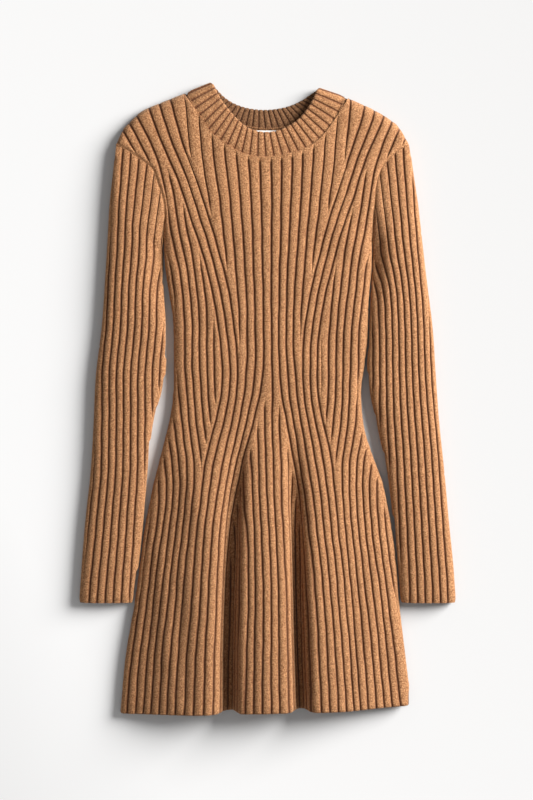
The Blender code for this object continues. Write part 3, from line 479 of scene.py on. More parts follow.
def cloth_height(x, y):
    """Inner side of the front with its creases, which leave the edges where they are."""
    x, y = np.broadcast_arrays(np.asarray(x, float), np.asarray(y, float))
    level = front_height(x, y)
    near = np.minimum(x - EDGES["left"](y), EDGES["right"](y) - x)
    free = ease((near - CREASE_MARGIN) / CREASE_REACH)
    free = free * ease((shoulder_y(x) - y - SHOULDER_MARGIN) / SHOULDER_REACH)
    return level + free * crease_height(x, y)


# ================================================================ knit in keyed rows

class Line:
    """A fine line across a piece, which gives points by the distance along it."""

    def __init__(self, x, y, z):
        moved = np.sqrt(np.diff(x)**2 + np.diff(y)**2 + np.diff(z)**2) > 1e-6
        keep = np.concatenate(([True], moved))
        self.x, self.y, self.z = x[keep], y[keep], z[keep]
        steps = np.sqrt(np.diff(self.x)**2 + np.diff(self.y)**2 + np.diff(self.z)**2)
        self.s = np.concatenate(([0.0], np.cumsum(steps)))
        dx, dz = np.gradient(self.x), np.gradient(self.z)
        size = np.hypot(dx, dz)
        self.nx, self.nz = -dz / size, dx / size

    def points(self, s, out):
        """Points at distances s, each moved out along the cloth's own normal."""
        columns = (self.x, self.y, self.z, self.nx, self.nz)
        x, y, z, nx, nz = (np.interp(s, self.s, column) for column in columns)
        size = np.hypot(nx, nz)
        return np.stack([x + out * nx / size, y, z + out * nz / size], axis=1)

    def crossing(self, guide):
        """Distance along the line where a guide line, x by y, crosses it."""
        past = self.x - guide(self.y)
        i = int(np.argmax(past >= 0))
        if i == 0:
            return self.s[0] if past[0] >= 0 else self.s[-1]
        share = past[i - 1] / (past[i - 1] - past[i])
        return self.s[i - 1] + share * (self.s[i] - self.s[i - 1])


class Knit:
    """A closed wall of knit.

    Each row is a list of keyed points; a point whose key is in one row alone closes in a triangle,
    so a rib may start or end at any row.  Every point also has its share across its rib and its
    place along the rib, for the pattern of the stitches.
    """

    def __init__(self):
        self.places, self.across, self.along, self.faces = [], [], [], []
        self.outer, self.inner = [], []

    def add(self, keys, points, across, along):
        start = len(self.places)
        self.places.extend(points)
        self.across.extend(across)
        self.along.extend(along)
        return [(key, start + i) for i, key in enumerate(keys)]

    def add_row(self, outer, inner):
        self.outer.append(self.add(*outer))
        self.inner.append(self.add(*inner))

    def face(self, *corners):
        distinct = list(dict.fromkeys(corners))
        if len(distinct) > 2:
            self.faces.append(distinct)

    def zip_rows(self, first, second):
        first_keys = {key for key, _ in first}
        second_keys = {key for key, _ in second}
        i = j = 0
        while i < len(first) - 1 or j < len(second) - 1:
            next_first = first[i + 1][0] if i < len(first) - 1 else None
            next_second = second[j + 1][0] if j < len(second) - 1 else None
            if next_first is not None and next_first == next_second:
                self.face(first[i][1], first[i + 1][1], second[j + 1][1], second[j][1])
                i, j = i + 1, j + 1
            elif next_first is not None and next_first not in second_keys:
                self.face(first[i][1], first[i + 1][1], second[j][1])
                i += 1
            else:
                if next_second is None or next_second in first_keys:
                    raise ValueError(f"rows in different order at {next_second}")
                self.face(first[i][1], second[j + 1][1], second[j][1])
                j += 1

    def close(self, ring=False):
        for rows in (self.outer, self.inner):
            for first, second in zip(rows, rows[1:]):
                self.zip_rows(first, second)
        for end in (0, -1):
            self.zip_rows(self.outer[end], self.inner[end])
        if ring:
            return
        for side in (0, -1):
            rims = [(outer[side][1], inner[side][1]) for outer, inner in zip(self.outer, self.inner)]
            for (a, b), (c, d) in zip(rims, rims[1:]):
                self.face(a, b, d, c)

    def finish(self, name, material):
        return make_piece(name, np.array(self.places), self.faces, material,
                          (np.array(self.across), np.array(self.along)))


NEAR_SHARE = 0.32           # on a face with a corner past FAR_SHARE of one rib, a corner below this
FAR_SHARE = 0.7             # is one of the next rib, and is counted from the same gutter


def make_piece(name, places, faces, material, pattern=None):
    """A mesh object with its faces outwards, and the stitch pattern's map where there is one."""
    mesh = bpy.data.meshes.new(name)
    mesh.from_pydata(((places + SHIFT) * MM).tolist(), [], faces)
    work = bmesh.new()
    work.from_mesh(mesh)
    bmesh.ops.recalc_face_normals(work, faces=work.faces)
    work.to_mesh(mesh)
    work.free()
    if pattern is not None:
        corners = np.zeros(len(mesh.loops), int)
        mesh.loops.foreach_get("vertex_index", corners)
        across, along = pattern[0][corners], pattern[1][corners]
        starts = np.zeros(len(mesh.polygons), int)
        mesh.polygons.foreach_get("loop_start", starts)
        wide = np.maximum.reduceat(across, starts)
        sizes = np.diff(np.append(starts, len(corners)))
        far_side = (across < NEAR_SHARE) & (np.repeat(wide, sizes) > FAR_SHARE)
        across = np.where(far_side, 1.0 - across, across)
        layer = mesh.uv_layers.new(name="stitches")
        layer.uv.foreach_set("vector", np.stack([across, along * MM], axis=1).ravel())
    mesh.shade_smooth()
    mesh.set_sharp_from_angle(angle=math.radians(60))
    mesh.materials.append(material)
    piece = bpy.data.objects.new(name, mesh)
    bpy.context.scene.collection.objects.link(piece)
    return piece


# ================================================================ front and back

PROFILE = np.array(RIB_PROFILE[1:])
HALF_PROFILE = 1 + int(np.argmax(PROFILE[:, 1]))
SLIVER = 0.01               # stands for a width of nothing where one is divided by


def row_level(kind, value, neck_y):
    """Height of a row by x."""
    if kind == "yoke":
        return lambda x: top_y(x, neck_y) + (UNDERARM - top_y(x, neck_y)) * value
    if kind == "hem":
        return lambda x: hem_y(x) + value
    return lambda x: np.full_like(x, value)


def row_ends(level):
    """Where a row meets the panel's left and right edges; above the shoulder tips, at the tips."""
    ends = []
    for column, sign in ((1, 1), (2, -1)):
        side = BODY_EDGES[0][column]
        tip_y, tip_x = BODY_EDGES[1][0], BODY_EDGES[1][column]
        x = np.linspace(tip_x, tip_x * INNERMOST_EDGE, END_SAMPLES)
        y = level(x)
        inside = (sign * (x - EDGES[side](y)) >= 0) | (y > tip_y)
        ends.append(float(x[int(np.argmax(inside))]))
    return ends


def body_levels(step):
    """The rows of a panel from shoulder to hem: (kind, value)."""
    yoke = int(round(YOKE_DEPTH / step))
    levels = [("yoke", i / yoke) for i in range(yoke)]
    hem = float(np.mean([p[1] for p in HEM_LINE[1:]]))
    levels += [("row", float(y)) for y in np.arange(UNDERARM, hem + HEM_MARGIN + step / 2, -step)]
    return levels + [("hem", rise) for rise in (2 * HEM_ROUND, HEM_ROUND, 0.0)]


def rolled_in(y):
    """How far inside the outline the front's inner side ends: by its wall, below the armhole."""
    return WALL * (1 - float(ease((y - UNDERARM) / (ARMHOLE_LEVEL - UNDERARM))))


def front_line(level):
    """A fine line over the front, its ends dense where the edge turns down."""
    left, right = row_ends(level)
    left, right = left + rolled_in(level(left)), right - rolled_in(level(right))
    turn = PANEL_ROLL * (1 - np.cos(np.linspace(0, math.pi / 2, EDGE_SAMPLES)))
    middle = np.linspace(left + PANEL_ROLL, right - PANEL_ROLL, LINE_SAMPLES)
    x = np.concatenate((left + turn[:-1], middle, right - turn[-2::-1]))
    y = level(x)
    return Line(x, y, cloth_height(x, y))


def back_line(level):
    """A fine line over the back, which lies on the floor."""
    left, right = row_ends(level)
    x = np.linspace(left, right, BACK_SAMPLES)
    return Line(x, level(x), np.zeros(len(x)))


def stray_waves(place, start, waves):
    """How far a gutter strays from its line at a place along it, in its own slow waves."""
    total = sum(height * math.sin(place / length + turns * start) for length, turns, height in waves[1:])
    return WANDER * total / 2


def strayed(key, level_y):
    """How far a gutter of a panel strays at one height."""
    family, side, k = key
    start = STRAY_STARTS[family] + (2.4 * k + (1.7 if side == "left" else 0.0))
    return stray_waves(level_y, start, BODY_STRAY)


def side_gutters(line, side, sloping):
    """Gutters on one side of the centre one, outwards: (name, distance from the centre, depth).

    On a sloping row every gutter keeps its place in plan, and on a level one the ribs of the
    skirt's folds and sides keep their widths along the cloth.  The depth is a share of the full
    one, and fades where a gutter starts or ends.
    """
    sign = -1 if side == "left" else 1
    centre = line.crossing(LINES["centre"])

    def outwards(name, k, width):
        """Distance of the gutter that is k ribs beside a line, in plan."""
        return sign * (line.crossing(lambda y: LINES[name](y) + sign * k * LINES[width](y)) - centre)

    def beside_sweep(place, k):
        """How far out of the sweep's gutter k a place is, in plan."""
        x, y = (float(np.interp(centre + sign * place, line.s, a)) for a in (line.x, line.y))
        return sign * x - sign * float(LINES[side + "_sweep"](y)) - k * float(LINES[side + "_rib"](y))

    sweep = [outwards(side + "_sweep", k, side + "_rib") for k in range(SWEEP_RIBS)]
    side_line = outwards(side + "_side", 0, "rib")
    edge = centre if side == "left" else line.s[-1] - centre
    level = float(np.interp(centre + sign * sweep[0], line.s, line.y))
    rib = float(LINES["rib"](level))
    bundled = float(ease((BUNDLE_BLEND[0] - level) / (BUNDLE_BLEND[0] - BUNDLE_BLEND[1])))
    evened = float(ease((EVEN_BLEND[0] - level) / (EVEN_BLEND[0] - EVEN_BLEND[1])))
    middle = []
    for k in range(1, MIDDLE_RIBS + 1):
        place, depth = outwards("centre", k, side + "_middle"), 1.0
        if k <= BUNDLE_RIBS:
            place = place + (sweep[0] * k / (BUNDLE_RIBS + 1) - place) * evened
            place = place + (sweep[0] - (BUNDLE_RIBS + 1 - k) * rib - place) * bundled
        else:
            depth = ease((-beside_sweep(place, 0) - NEW_RIB) / FADE)
            depth = depth * ease((level - MIDDLE_RIBS_END) / LONG_FADE)
        middle.append((("middle", side, k), place, depth))
    gutters = []
    for k in range(1, GODET_RIBS + 1):
        depth = ease((middle[0][1] - (k + NARROWEST) * rib) / FADE)
        depth = depth * ease((GODET_TOP - level) / LONG_FADE)
        gutters.append((("godet", side, k), k * rib, depth))
    gutters += middle
    gutters += [(("sweep", side, k), place, 1.0) for k, place in enumerate(sweep)]
    for k in SIDE_RIBS:
        place = outwards(side + "_side", k, "rib") if sloping else side_line + k * rib
        depth = ease((beside_sweep(place, SWEEP_RIBS - 1) - NEW_RIB) / FADE)
        if k < 0:
            y = float(np.interp(centre + sign * place, line.s, line.y))
            depth = depth * ease((SIDE_SPLIT_TOP - y) / LONG_FADE)
        gutters.append((("side", side, k), place, depth))
    margin = EDGE_RIB if sloping else NARROWEST * rib
    return centre, [(name, place, float(depth * ease((edge - margin - place) / FADE)))
                    for name, place, depth in gutters if depth > 0 and place < edge - CLOSEST]


def reach_after(places, depths):
    """Width of the rib after each gutter; one that has faded lets the rib before it run on."""
    reach = [0.0] * len(places)
    for i in range(len(places) - 2, -1, -1):
        reach[i] = places[i + 1] - places[i] + (1.0 - depths[i + 1]) * reach[i + 1]
    return reach


def ribbed(gutters, places, columns):
    """Columns of a row of ribs: their keys, distances, fullness of the rib and share across it.

    The gutters are (name, distance, depth), and places the distances that they really have.
    """
    keys, along, fullness = [], [], []
    pairs = zip(gutters, gutters[1:], places, places[1:])
    for (name, _, depth), (next_name, _, next_depth), start, end in pairs:
        full = 1.0 - (1.0 - min(1.0, (end - start) / FULL_RIB)) * min(depth, next_depth)
        flanks = min(end - start, FLANKED_RIB)
        for i in columns:
            share = PROFILE[i][0]
            key, near = name + (i,), start + share * flanks
            if share == 0.5:
                near = (start + end) / 2
            elif share > 0.5:
                key, near = next_name + (i - len(PROFILE),), end - (1 - share) * flanks
            keys.append(key)
            along.append(near)
            fullness.append(full)
    keys.append(gutters[-1][0] + (0,))
    along.append(places[-1])
    fullness.append(1.0)

    along, depths = np.array(along), np.array([float(depth) for _, _, depth in gutters])
    after = reach_after(places, depths)
    before = reach_after([-place for place in reversed(places)], depths[::-1])[::-1]
    past = along[:, None] - np.array(places)
    width = np.minimum(np.where(past >= 0, after, before), FLANKED_RIB)
    share = np.minimum(np.abs(past) / np.maximum(width, SLIVER), 0.5)
    rise = np.interp(share, *PROFILE[:HALF_PROFILE].T)
    fullness = np.array(fullness) * np.prod(1.0 - depths * (1.0 - rise), axis=1)
    near = depths * (1.0 - 2 * share)
    held = np.argmax(near, axis=1)
    rows = np.arange(len(along))
    across = 0.5 - 0.5 * np.where(past[rows, held] >= 0, 1, -1) * near[rows, held]
    return keys, along, fullness, across


def wandering(gutters, stray):
    """The gutters' places, each moved by its own stray as far as its neighbours leave room."""
    places = [place for _, place, _ in gutters]
    moved = [places[0]]
    for (name, _, _), before, place, after in zip(gutters[1:], places, places[1:], places[2:]):
        room = min(1.0, (place - before) / FULL_RIB, (after - place) / FULL_RIB)
        moved.append(place + room * stray(name, place))
    return moved + [places[-1]]


def rib_columns(line, sloping, columns=range(len(PROFILE)), below_neck=None):
    """Columns of a row of a panel, as ribbed gives them, with no gutters close below the neck."""
    centre, left = side_gutters(line, "left", sloping)
    _, right = side_gutters(line, "right", sloping)
    edge_depth = ARMHOLE_DEPTH if sloping else 1.0
    gutters = [(("edge", "left", 0), 0.0, edge_depth)]
    gutters += [(name, centre - out, depth) for name, out, depth in reversed(left)]
    gutters += [(("centre", "", 0), centre, 1.0)]
    gutters += [(name, centre + out, depth) for name, out, depth in right]
    gutters += [(("edge", "right", 0), float(line.s[-1]), edge_depth)]

    if below_neck is not None:
        inside = [NECK_LEFT < float(np.interp(place, line.s, line.x)) < NECK_RIGHT
                  for _, place, _ in gutters]
        gutters = [(name, place, depth * (below_neck(place) if held else 1.0))
                   for held, (name, place, depth) in zip(inside, gutters)]

    def stray(name, place):
        return strayed(name, float(np.interp(place, line.s, line.y)))
    return ribbed(gutters, wandering(gutters, stray), columns)


def make_front(material):
    """The front panel, ribbed on both sides, with the skirt's two long folds."""
    knit = Knit()
    for kind, value in body_levels(ROW_STEP):
        line = front_line(row_level(kind, value, front_neck_y))

        def below_neck(place):
            """Depth of a gutter close to the neck seam, by its drop below the seam."""
            x, y = (float(np.interp(place, line.s, a)) for a in (line.x, line.y))
            return float(ease((NECK_SLOPE * (float(front_neck_y(x)) - y) - NECK_STRIP) / FADE))
        start = below_neck if kind == "yoke" else None
        keys, s, full, across = rib_columns(line, kind == "yoke", below_neck=start)
        edge = dict(zip((0.0, HEM_ROUND), HEM_EDGE)).get(value, 1.0) if kind == "hem" else 1.0
        taper = 0.5 + 0.5 * ease(np.minimum(s, line.s[-1] - s) / EDGE_TAPER)
        wall = WALL * (THIN_EDGE + (1 - THIN_EDGE) * edge)
        outer = line.points(s, wall + RIB_RISE * full * edge * taper)
        in_keys, in_s, in_full, in_across = rib_columns(line, kind == "yoke", INNER_COLUMNS, start)
        inner = line.points(in_s, INNER_RISE * in_full + 0.5 * (1 - edge))
        knit.add_row((keys, outer, across, outer[:, 1]), (in_keys, inner, in_across, inner[:, 1]))
    knit.close()
    return knit.finish("front_knit", material)


def make_back(material):
    """The back panel, flat on the floor, its edges under those of the front."""
    knit = Knit()
    for kind, value in body_levels(2 * ROW_STEP):
        line = back_line(row_level(kind, value, back_neck_y))
        keys, s, full, across = rib_columns(line, kind == "yoke", BACK_COLUMNS)
        top = line.points(s, BACK_WALL - BACK_RISE * full)
        under = line.points(s, BACK_PRESS - np.minimum(full * BACK_FLAT, BACK_PRESS))
        knit.add_row((keys, top, across, top[:, 1]), (keys, under, across, under[:, 1]))
    knit.close()
    return knit.finish("back_knit", material)


# ================================================================ sleeves

def armhole(side, step):
    """The armhole as the front's rows leave it, shoulder to underarm, moved out by the clearance."""
    points = []
    for kind, value in body_levels(step):
        if kind != "yoke" and value < UNDERARM:
            break
        level = row_level(kind, value, front_neck_y)
        x = row_ends(level)[0 if side == "left" else 1]
        points.append((x, float(level(np.array([x]))[0])))
    points = np.array(points)
    along = np.gradient(points, axis=0)
    along /= np.linalg.norm(along, axis=1)[:, None]
    turn = -1 if side == "left" else 1
    return points + SLEEVE_CLEARANCE * turn * np.stack([-along[:, 1], along[:, 0]], axis=1)


def sleeve_loop(width, top_height, edge_height, fullness):
    """Fine outline of a sleeve across: over the top, round the inner edge and back underneath."""
    share = (1 - np.cos(np.linspace(0, math.pi, SLEEVE_SAMPLES))) / 2
    dome = (1 - np.abs(2 * share - 1)**fullness)**(1 / fullness)
    top = edge_height + (top_height(share) - edge_height) * dome
    turn = np.linspace(0, math.pi / 2, CORNER_SAMPLES)[1:]
    corner = edge_height * SLEEVE_CORNER
    flat = np.linspace(width - corner, corner, BASE_SAMPLES)[1:-1]
    x = np.concatenate((share * width, width - corner + corner * np.cos(turn), flat,
                        corner - corner * np.sin(turn)))
    z = np.concatenate((top, edge_height - edge_height * np.sin(turn), np.zeros(len(flat)),
                        edge_height - edge_height * np.cos(turn)))
    return x, z


class Section:
    """One row of a sleeve: its outline across, and where that lies in plan."""

    def __init__(self, side, seam, station, share):
        self.side, self.share = side, share
        self.sign = -1 if side == "left" else 1
        y_outer, x_outer, y_inner, x_inner, height, self.first, self.rib = station
        self.ends = np.array([[x_outer, y_outer], [x_inner, y_inner]], float)
        reach = np.concatenate(([0], np.cumsum(np.hypot(*np.diff(seam, axis=0).T))))
        self.seam, self.seam_share = seam, reach / reach[-1]
        width = math.hypot(*(self.ends[1] - self.ends[0]))
        self.width = reach[-1] + (width - reach[-1]) * share

        def top_height(u):
            """The top's height, led over from the front's at the armhole."""
            x, y = self.on_seam(u)
            edge = front_height(x - self.sign * (WALL + SLEEVE_CLEARANCE), y) + WALL
            return edge + (height - edge) * share

        edge_height = HEAD_EDGE + (height * SLEEVE_EDGE_HEIGHT - HEAD_EDGE) * share
        fullness = HEAD_FULLNESS + (SLEEVE_FULLNESS - HEAD_FULLNESS) * share
        x, z = sleeve_loop(self.width, top_height, edge_height, fullness)
        self.top_x = x[:SLEEVE_SAMPLES]
        self.loop = Line(np.append(x, x[0]), np.zeros(len(x) + 1), np.append(z, z[0]))
        self.top_length = float(self.loop.s[SLEEVE_SAMPLES - 1])

    def on_seam(self, u):
        return np.array([np.interp(u, self.seam_share, self.seam[:, i]) for i in (0, 1)])

    def plan(self, u):
        """Where a share across the sleeve lies in plan."""
        straight = self.ends[0][:, None] + np.outer(self.ends[1] - self.ends[0], u)
        bent = self.on_seam(np.atleast_1d(u))
        return bent + (straight - bent) * self.share

    def lay(self, s, out):
        """Points at distances round the sleeve, moved out along the cloth's normal, and creased."""
        points = self.loop.points(s, out)
        x, y = self.plan(points[:, 0] / self.width)
        soft = sleeve_creases(self.side, y, points[:, 0] / self.width)
        below = (y - UNDERARM + DIP_DROP) / DIP_LENGTH
        aside = (points[:, 0] / self.width - DIP_PLACE) / DIP_WIDTH
        soft = soft - UNDERARM_DIP * np.exp(-below**2 - aside**2)
        soft = soft * self.share * ease(points[:, 2] / CREASED_HEIGHT)
        return np.stack([x, y, np.maximum(points[:, 2] + soft, 0.0)], axis=1)

    def crossing(self, guide):
        """Distance round the sleeve at which a line, x by y, crosses its top in plan."""
        u = np.linspace(0, 1, PLAN_SAMPLES)
        x, y = self.plan(u)
        past = self.sign * (guide(y) - x)
        i = int(np.argmax(past >= 0))
        if i == 0:
            return 0.0
        at = u[i - 1] + (u[i] - u[i - 1]) * past[i - 1] / (past[i - 1] - past[i])
        return float(np.interp(at * self.width, self.top_x, self.loop.s[:SLEEVE_SAMPLES]))

    def guide(self, s):
        """The line, x by y, that a gutter of this row follows up to the armhole."""
        u = float(self.loop.points(np.array([s]), 0.0)[0, 0]) / self.width
        x0, y0 = self.plan(u)[:, 0]
        lean = self.sign * (SLEEVE_LEAN[0] + SLEEVE_LEAN[1] * u)
        return lambda y: x0 - lean * (y - y0)

    def own_gutters(self):
        """Distances of the gutters by the row's own first gutter and rib width."""
        places = {k: self.first + k * self.rib for k in SLEEVE_RIBS}
        return {k: place for k, place in places.items() if place < self.top_length}


def sleeve_columns(section, places, columns, down):
    """Columns round a sleeve: ribs over the top, and ribs pressed flat underneath."""
    margin = NARROWEST * section.rib
    gutters = [(("top", "edge"), 0.0, 1.0)]
    for k, place in places.items():
        depth = ease((place - margin) / FADE) * ease((section.top_length - margin - place) / FADE)
        if CLOSEST < place < section.top_length - CLOSEST:
            gutters.append((("top", k), place, float(depth)))
    whole = float(section.loop.s[-1])
    below = whole - section.top_length
    gutters += [(("under", k), section.top_length + below * k / UNDER_RIBS, 1.0)
                for k in range(UNDER_RIBS)]
    gutters.append((("close", 0), whole, 1.0))

    def stray(name, _):
        family, k = name
        start = 0.9 if section.side == "left" else 3.3
        start += (2.1 * k if k != "edge" else 0.0) + (0 if family == "top" else 1.9)
        return stray_waves(down, start, SLEEVE_STRAY)
    return ribbed(gutters, wandering(gutters, stray), columns)


def sleeve_stations(table):
    """Even steps down a sleeve from its table: (share past the head, row of the table's columns)."""
    rows = np.array(table[1:], float)
    middle = (rows[:, :2] + rows[:, 2:4]) / 2
    reach = np.concatenate(([0], np.cumsum(np.hypot(*np.diff(middle, axis=0).T))))
    curves = [smooth_curve(reach, rows[:, i]) for i in range(rows.shape[1])]
    heads = [(share, rows[0]) for share in np.linspace(0, 1, HEAD_STEPS, endpoint=False)]
    steps = int(round(reach[-1] / ROW_STEP))
    downs = [(1.0, np.array([float(curve(at)) for curve in curves]))
             for at in np.linspace(0, reach[-1], steps + 1)]
    return heads + downs


def make_sleeve(side, table, material):
    """A flattened tube from the armhole to the open cuff, flat underneath."""
    seam = armhole(side, ROW_STEP)
    first_row = Section(side, seam, table[1], 1.0)
    guides = {k: first_row.guide(s) for k, s in first_row.own_gutters().items() if s > 0}
    sections = [Section(side, seam, station, share) for share, station in sleeve_stations(table)]
    knit = Knit()
    for number, section in enumerate(sections):
        down = -ROW_STEP * (number + 1)
        if section.share < 1.0:
            places = {k: section.crossing(guide) for k, guide in guides.items()}
        else:
            places = section.own_gutters()
        edge = dict(enumerate(CUFF_EDGE)).get(len(sections) - 1 - number, 1.0)
        taper = 0.5 if number == 0 else 1.0
        keys, s, full, across = sleeve_columns(section, places, range(len(PROFILE)), down)
        out = RIB_RISE * full * edge * taper - WALL * THIN_EDGE * (1 - edge)
        under = np.array([key[0] == "under" for key in keys])
        outer = section.lay(s, np.where(under, np.minimum(full - 1.0, 0.0), out))
        in_keys, in_s, in_full, in_across = sleeve_columns(section, places, INNER_COLUMNS, down)
        inner = section.lay(in_s, INNER_RISE * in_full * 0.5 - WALL + 0.4 * (1 - edge))
        knit.add_row((keys, outer, across, np.full(len(keys), down)),
                     (in_keys, inner, in_across, np.full(len(in_keys), down)))
        for rows_made in (knit.outer, knit.inner):
            rows_made[-1][-1] = (rows_made[-1][-1][0], rows_made[-1][0][1])
    knit.close(ring=True)
    return knit.finish("sleeve_" + side + "_knit", material)


def sleeve_creases(side, y, u):
    """Soft waves down a sleeve, at the elbow most of all."""
    start = 0.0 if side == "left" else 2.1
    elbow = np.exp(-((y - ELBOW) / ELBOW_REACH)**2)
    slant = np.sin((y + 26 * u) / 19 + start) * (CALM_WAVES + ELBOW_WAVES * elbow)
    return slant * np.sin(math.pi * np.clip(u, 0, 1)) * SLEEVE_WAVE


# ================================================================ neckband and label

def along_line(points, shares, inward=0.0):
    """Points at shares of the length of a line round the neck, moved into the neck by a gap."""
    points = np.array(points, float)
    length = np.concatenate(([0], np.cumsum(np.hypot(*np.diff(points, axis=0).T))))
    curves = [smooth_curve(length, points[:, i]) for i in (0, 1)]
    place = np.stack([curve(shares * length[-1]) for curve in curves], axis=1)
    along = np.gradient(place, axis=0)
    across = np.stack([-along[:, 1], along[:, 0]], axis=1)
    step = inward * (1 + (BAND_END_GAP - 1) * np.abs(2 * shares - 1)**BAND_END_SHARPNESS)
    return place + across * (step / np.linalg.norm(across, axis=1))[:, None]


def neck_stations():
    """Round the neck: points of the free edge and of the seam, and the place counted in ribs."""
    ribs = (np.arange(BAND_RIBS)[:, None] + PROFILE[None, :, 0]).ravel()
    shares = np.append(ribs, BAND_RIBS) / BAND_RIBS
    half = BAND_WALL / 2
    stations = []
    for part, edge_line, seam_line in (("front", FRONT_BAND_EDGE, FRONT_NECK_LINE),
                                       ("back", BACK_BAND_EDGE, BACK_NECK_LINE)):
        edge = along_line(edge_line[1:], shares)
        seam = along_line(seam_line[1:], BAND_INSET + (1 - 2 * BAND_INSET) * shares, BAND_GAP)
        order = range(len(shares)) if part == "front" else range(len(shares) - 1, -1, -1)
        for i in order:
            height = half
            if part == "front":
                height += max(float(front_height(*seam[i])), BAND_HEIGHT)
            rib = shares[i] * BAND_RIBS
            if part == "back":
                rib = 2 * BAND_RIBS + 1 - rib
            stations.append((np.array([*edge[i], height]), np.array([*seam[i], height]), rib))
        end, sign = (-1, 1) if part == "front" else (0, -1)
        top = half + max(float(front_height(*seam[end])), BAND_HEIGHT)
        for turn in np.linspace(0, math.pi, FOLD_STEPS + 2)[1:-1]:
            out = np.array([sign * BAND_TURN * math.sin(turn), 0.0])
            middle, radius = (top + half) / 2, (top - half) / 2
            height = middle + sign * radius * math.cos(turn)
            start = BAND_RIBS if part == "front" else 2 * BAND_RIBS + 1
            stations.append((np.array([*(edge[end] + out), height]),
                             np.array([*(seam[end] - out), height]), start + turn / math.pi))
    return stations


def make_neckband(material):
    """One ribbed strip folded double round the neck: half on the front and half on the back."""
    stations = neck_stations()
    edges = np.array([station[0] for station in stations])
    seams = np.array([station[1] for station in stations])
    ribs = np.array([station[2] for station in stations])
    number = len(stations)
    middle = (edges + seams) / 2
    tangent = np.roll(middle, -1, axis=0) - np.roll(middle, 1, axis=0)
    width = np.linalg.norm(edges - seams, axis=1)[:, None]
    across = (edges - seams) / width
    normal = np.cross(tangent, across)
    normal /= np.linalg.norm(normal, axis=1)[:, None]
    full = np.interp(ribs % 1.0, np.append(PROFILE[:, 0], 1.0), np.append(PROFILE[:, 1], 0.0))
    half = BAND_WALL / 2
    knit = Knit()
    section = [(share, 1.0, 0.0) for share in BAND_OUTSIDE]
    section += [(1.0, math.cos(turn), math.sin(turn)) for turn in np.linspace(0, math.pi, EDGE_STEPS)]
    section += [(share, -1.0, 0.0) for share in BAND_INSIDE]
    along = 0.0
    for share, up, out in section:
        tuck = 1 - BAND_TUCK * math.exp(-(share / TUCK_REACH)**2)
        rise = BAND_RISE * full * (SEAM_RISE + (1 - SEAM_RISE) * tuck)
        thick = (half * tuck + rise)[:, None]
        place = seams + (edges - seams) * share - across * half * (share == 1.0)
        if share < 1.0:
            place = seams + (edges - seams - across * half) * share
        place = place + normal * up * thick + across * out * thick
        place[:, 2] = np.maximum(place[:, 2], 0.0)
        along += BAND_ROW
        row = knit.add(list(range(number)), place, ribs % 1.0, np.full(number, along))
        row.append(("close", row[0][1]))
        knit.outer.append(row)
    cycle = knit.outer + [knit.outer[0]]
    for first, second in zip(cycle, cycle[1:]):
        knit.zip_rows(first, second)
    return knit.finish("neckband_knit", material)


def make_label(material):
    """A bare tape tab on the inside of the back, its edges rounded off."""
    width, depth, thick = LABEL_SIZE
    columns, rows = LABEL_GRID
    places, faces = [], []
    for side in (1, 0):
        for j in range(rows):
            for i in range(columns):
                u, v = i / (columns - 1), j / (rows - 1)
                round_off = 1 - 0.35 * max(abs(2 * v - 1)**8, abs(2 * u - 1)**14)
                lift = LABEL_LIFT * math.sin(5 * u + 1) * math.sin(math.pi * v)
                z = REST + 0.05 + lift + thick * (side * round_off + (1 - side) * (1 - round_off))
                x, y = LABEL_PLACE[0] + (u - 0.5) * width, LABEL_PLACE[1] + (v - 0.5) * depth
                places.append((x, y, z))
    for side in (0, 1):
        start = side * rows * columns
        for j in range(rows - 1):
            for i in range(columns - 1):
                a = start + j * columns + i
                faces.append([a, a + 1, a + columns + 1, a + columns])
    rim = list(range(columns)) + [j * columns + columns - 1 for j in range(1, rows)]
    rim += [(rows - 1) * columns + i for i in range(columns - 2, -1, -1)]
    rim += [j * columns for j in range(rows - 2, 0, -1)]
    for a, b in zip(rim, rim[1:] + rim[:1]):
        faces.append([a, b, b + rows * columns, a + rows * columns])
    return make_piece("neck_label", np.array(places), faces, material)


# ================================================================ linking stitches

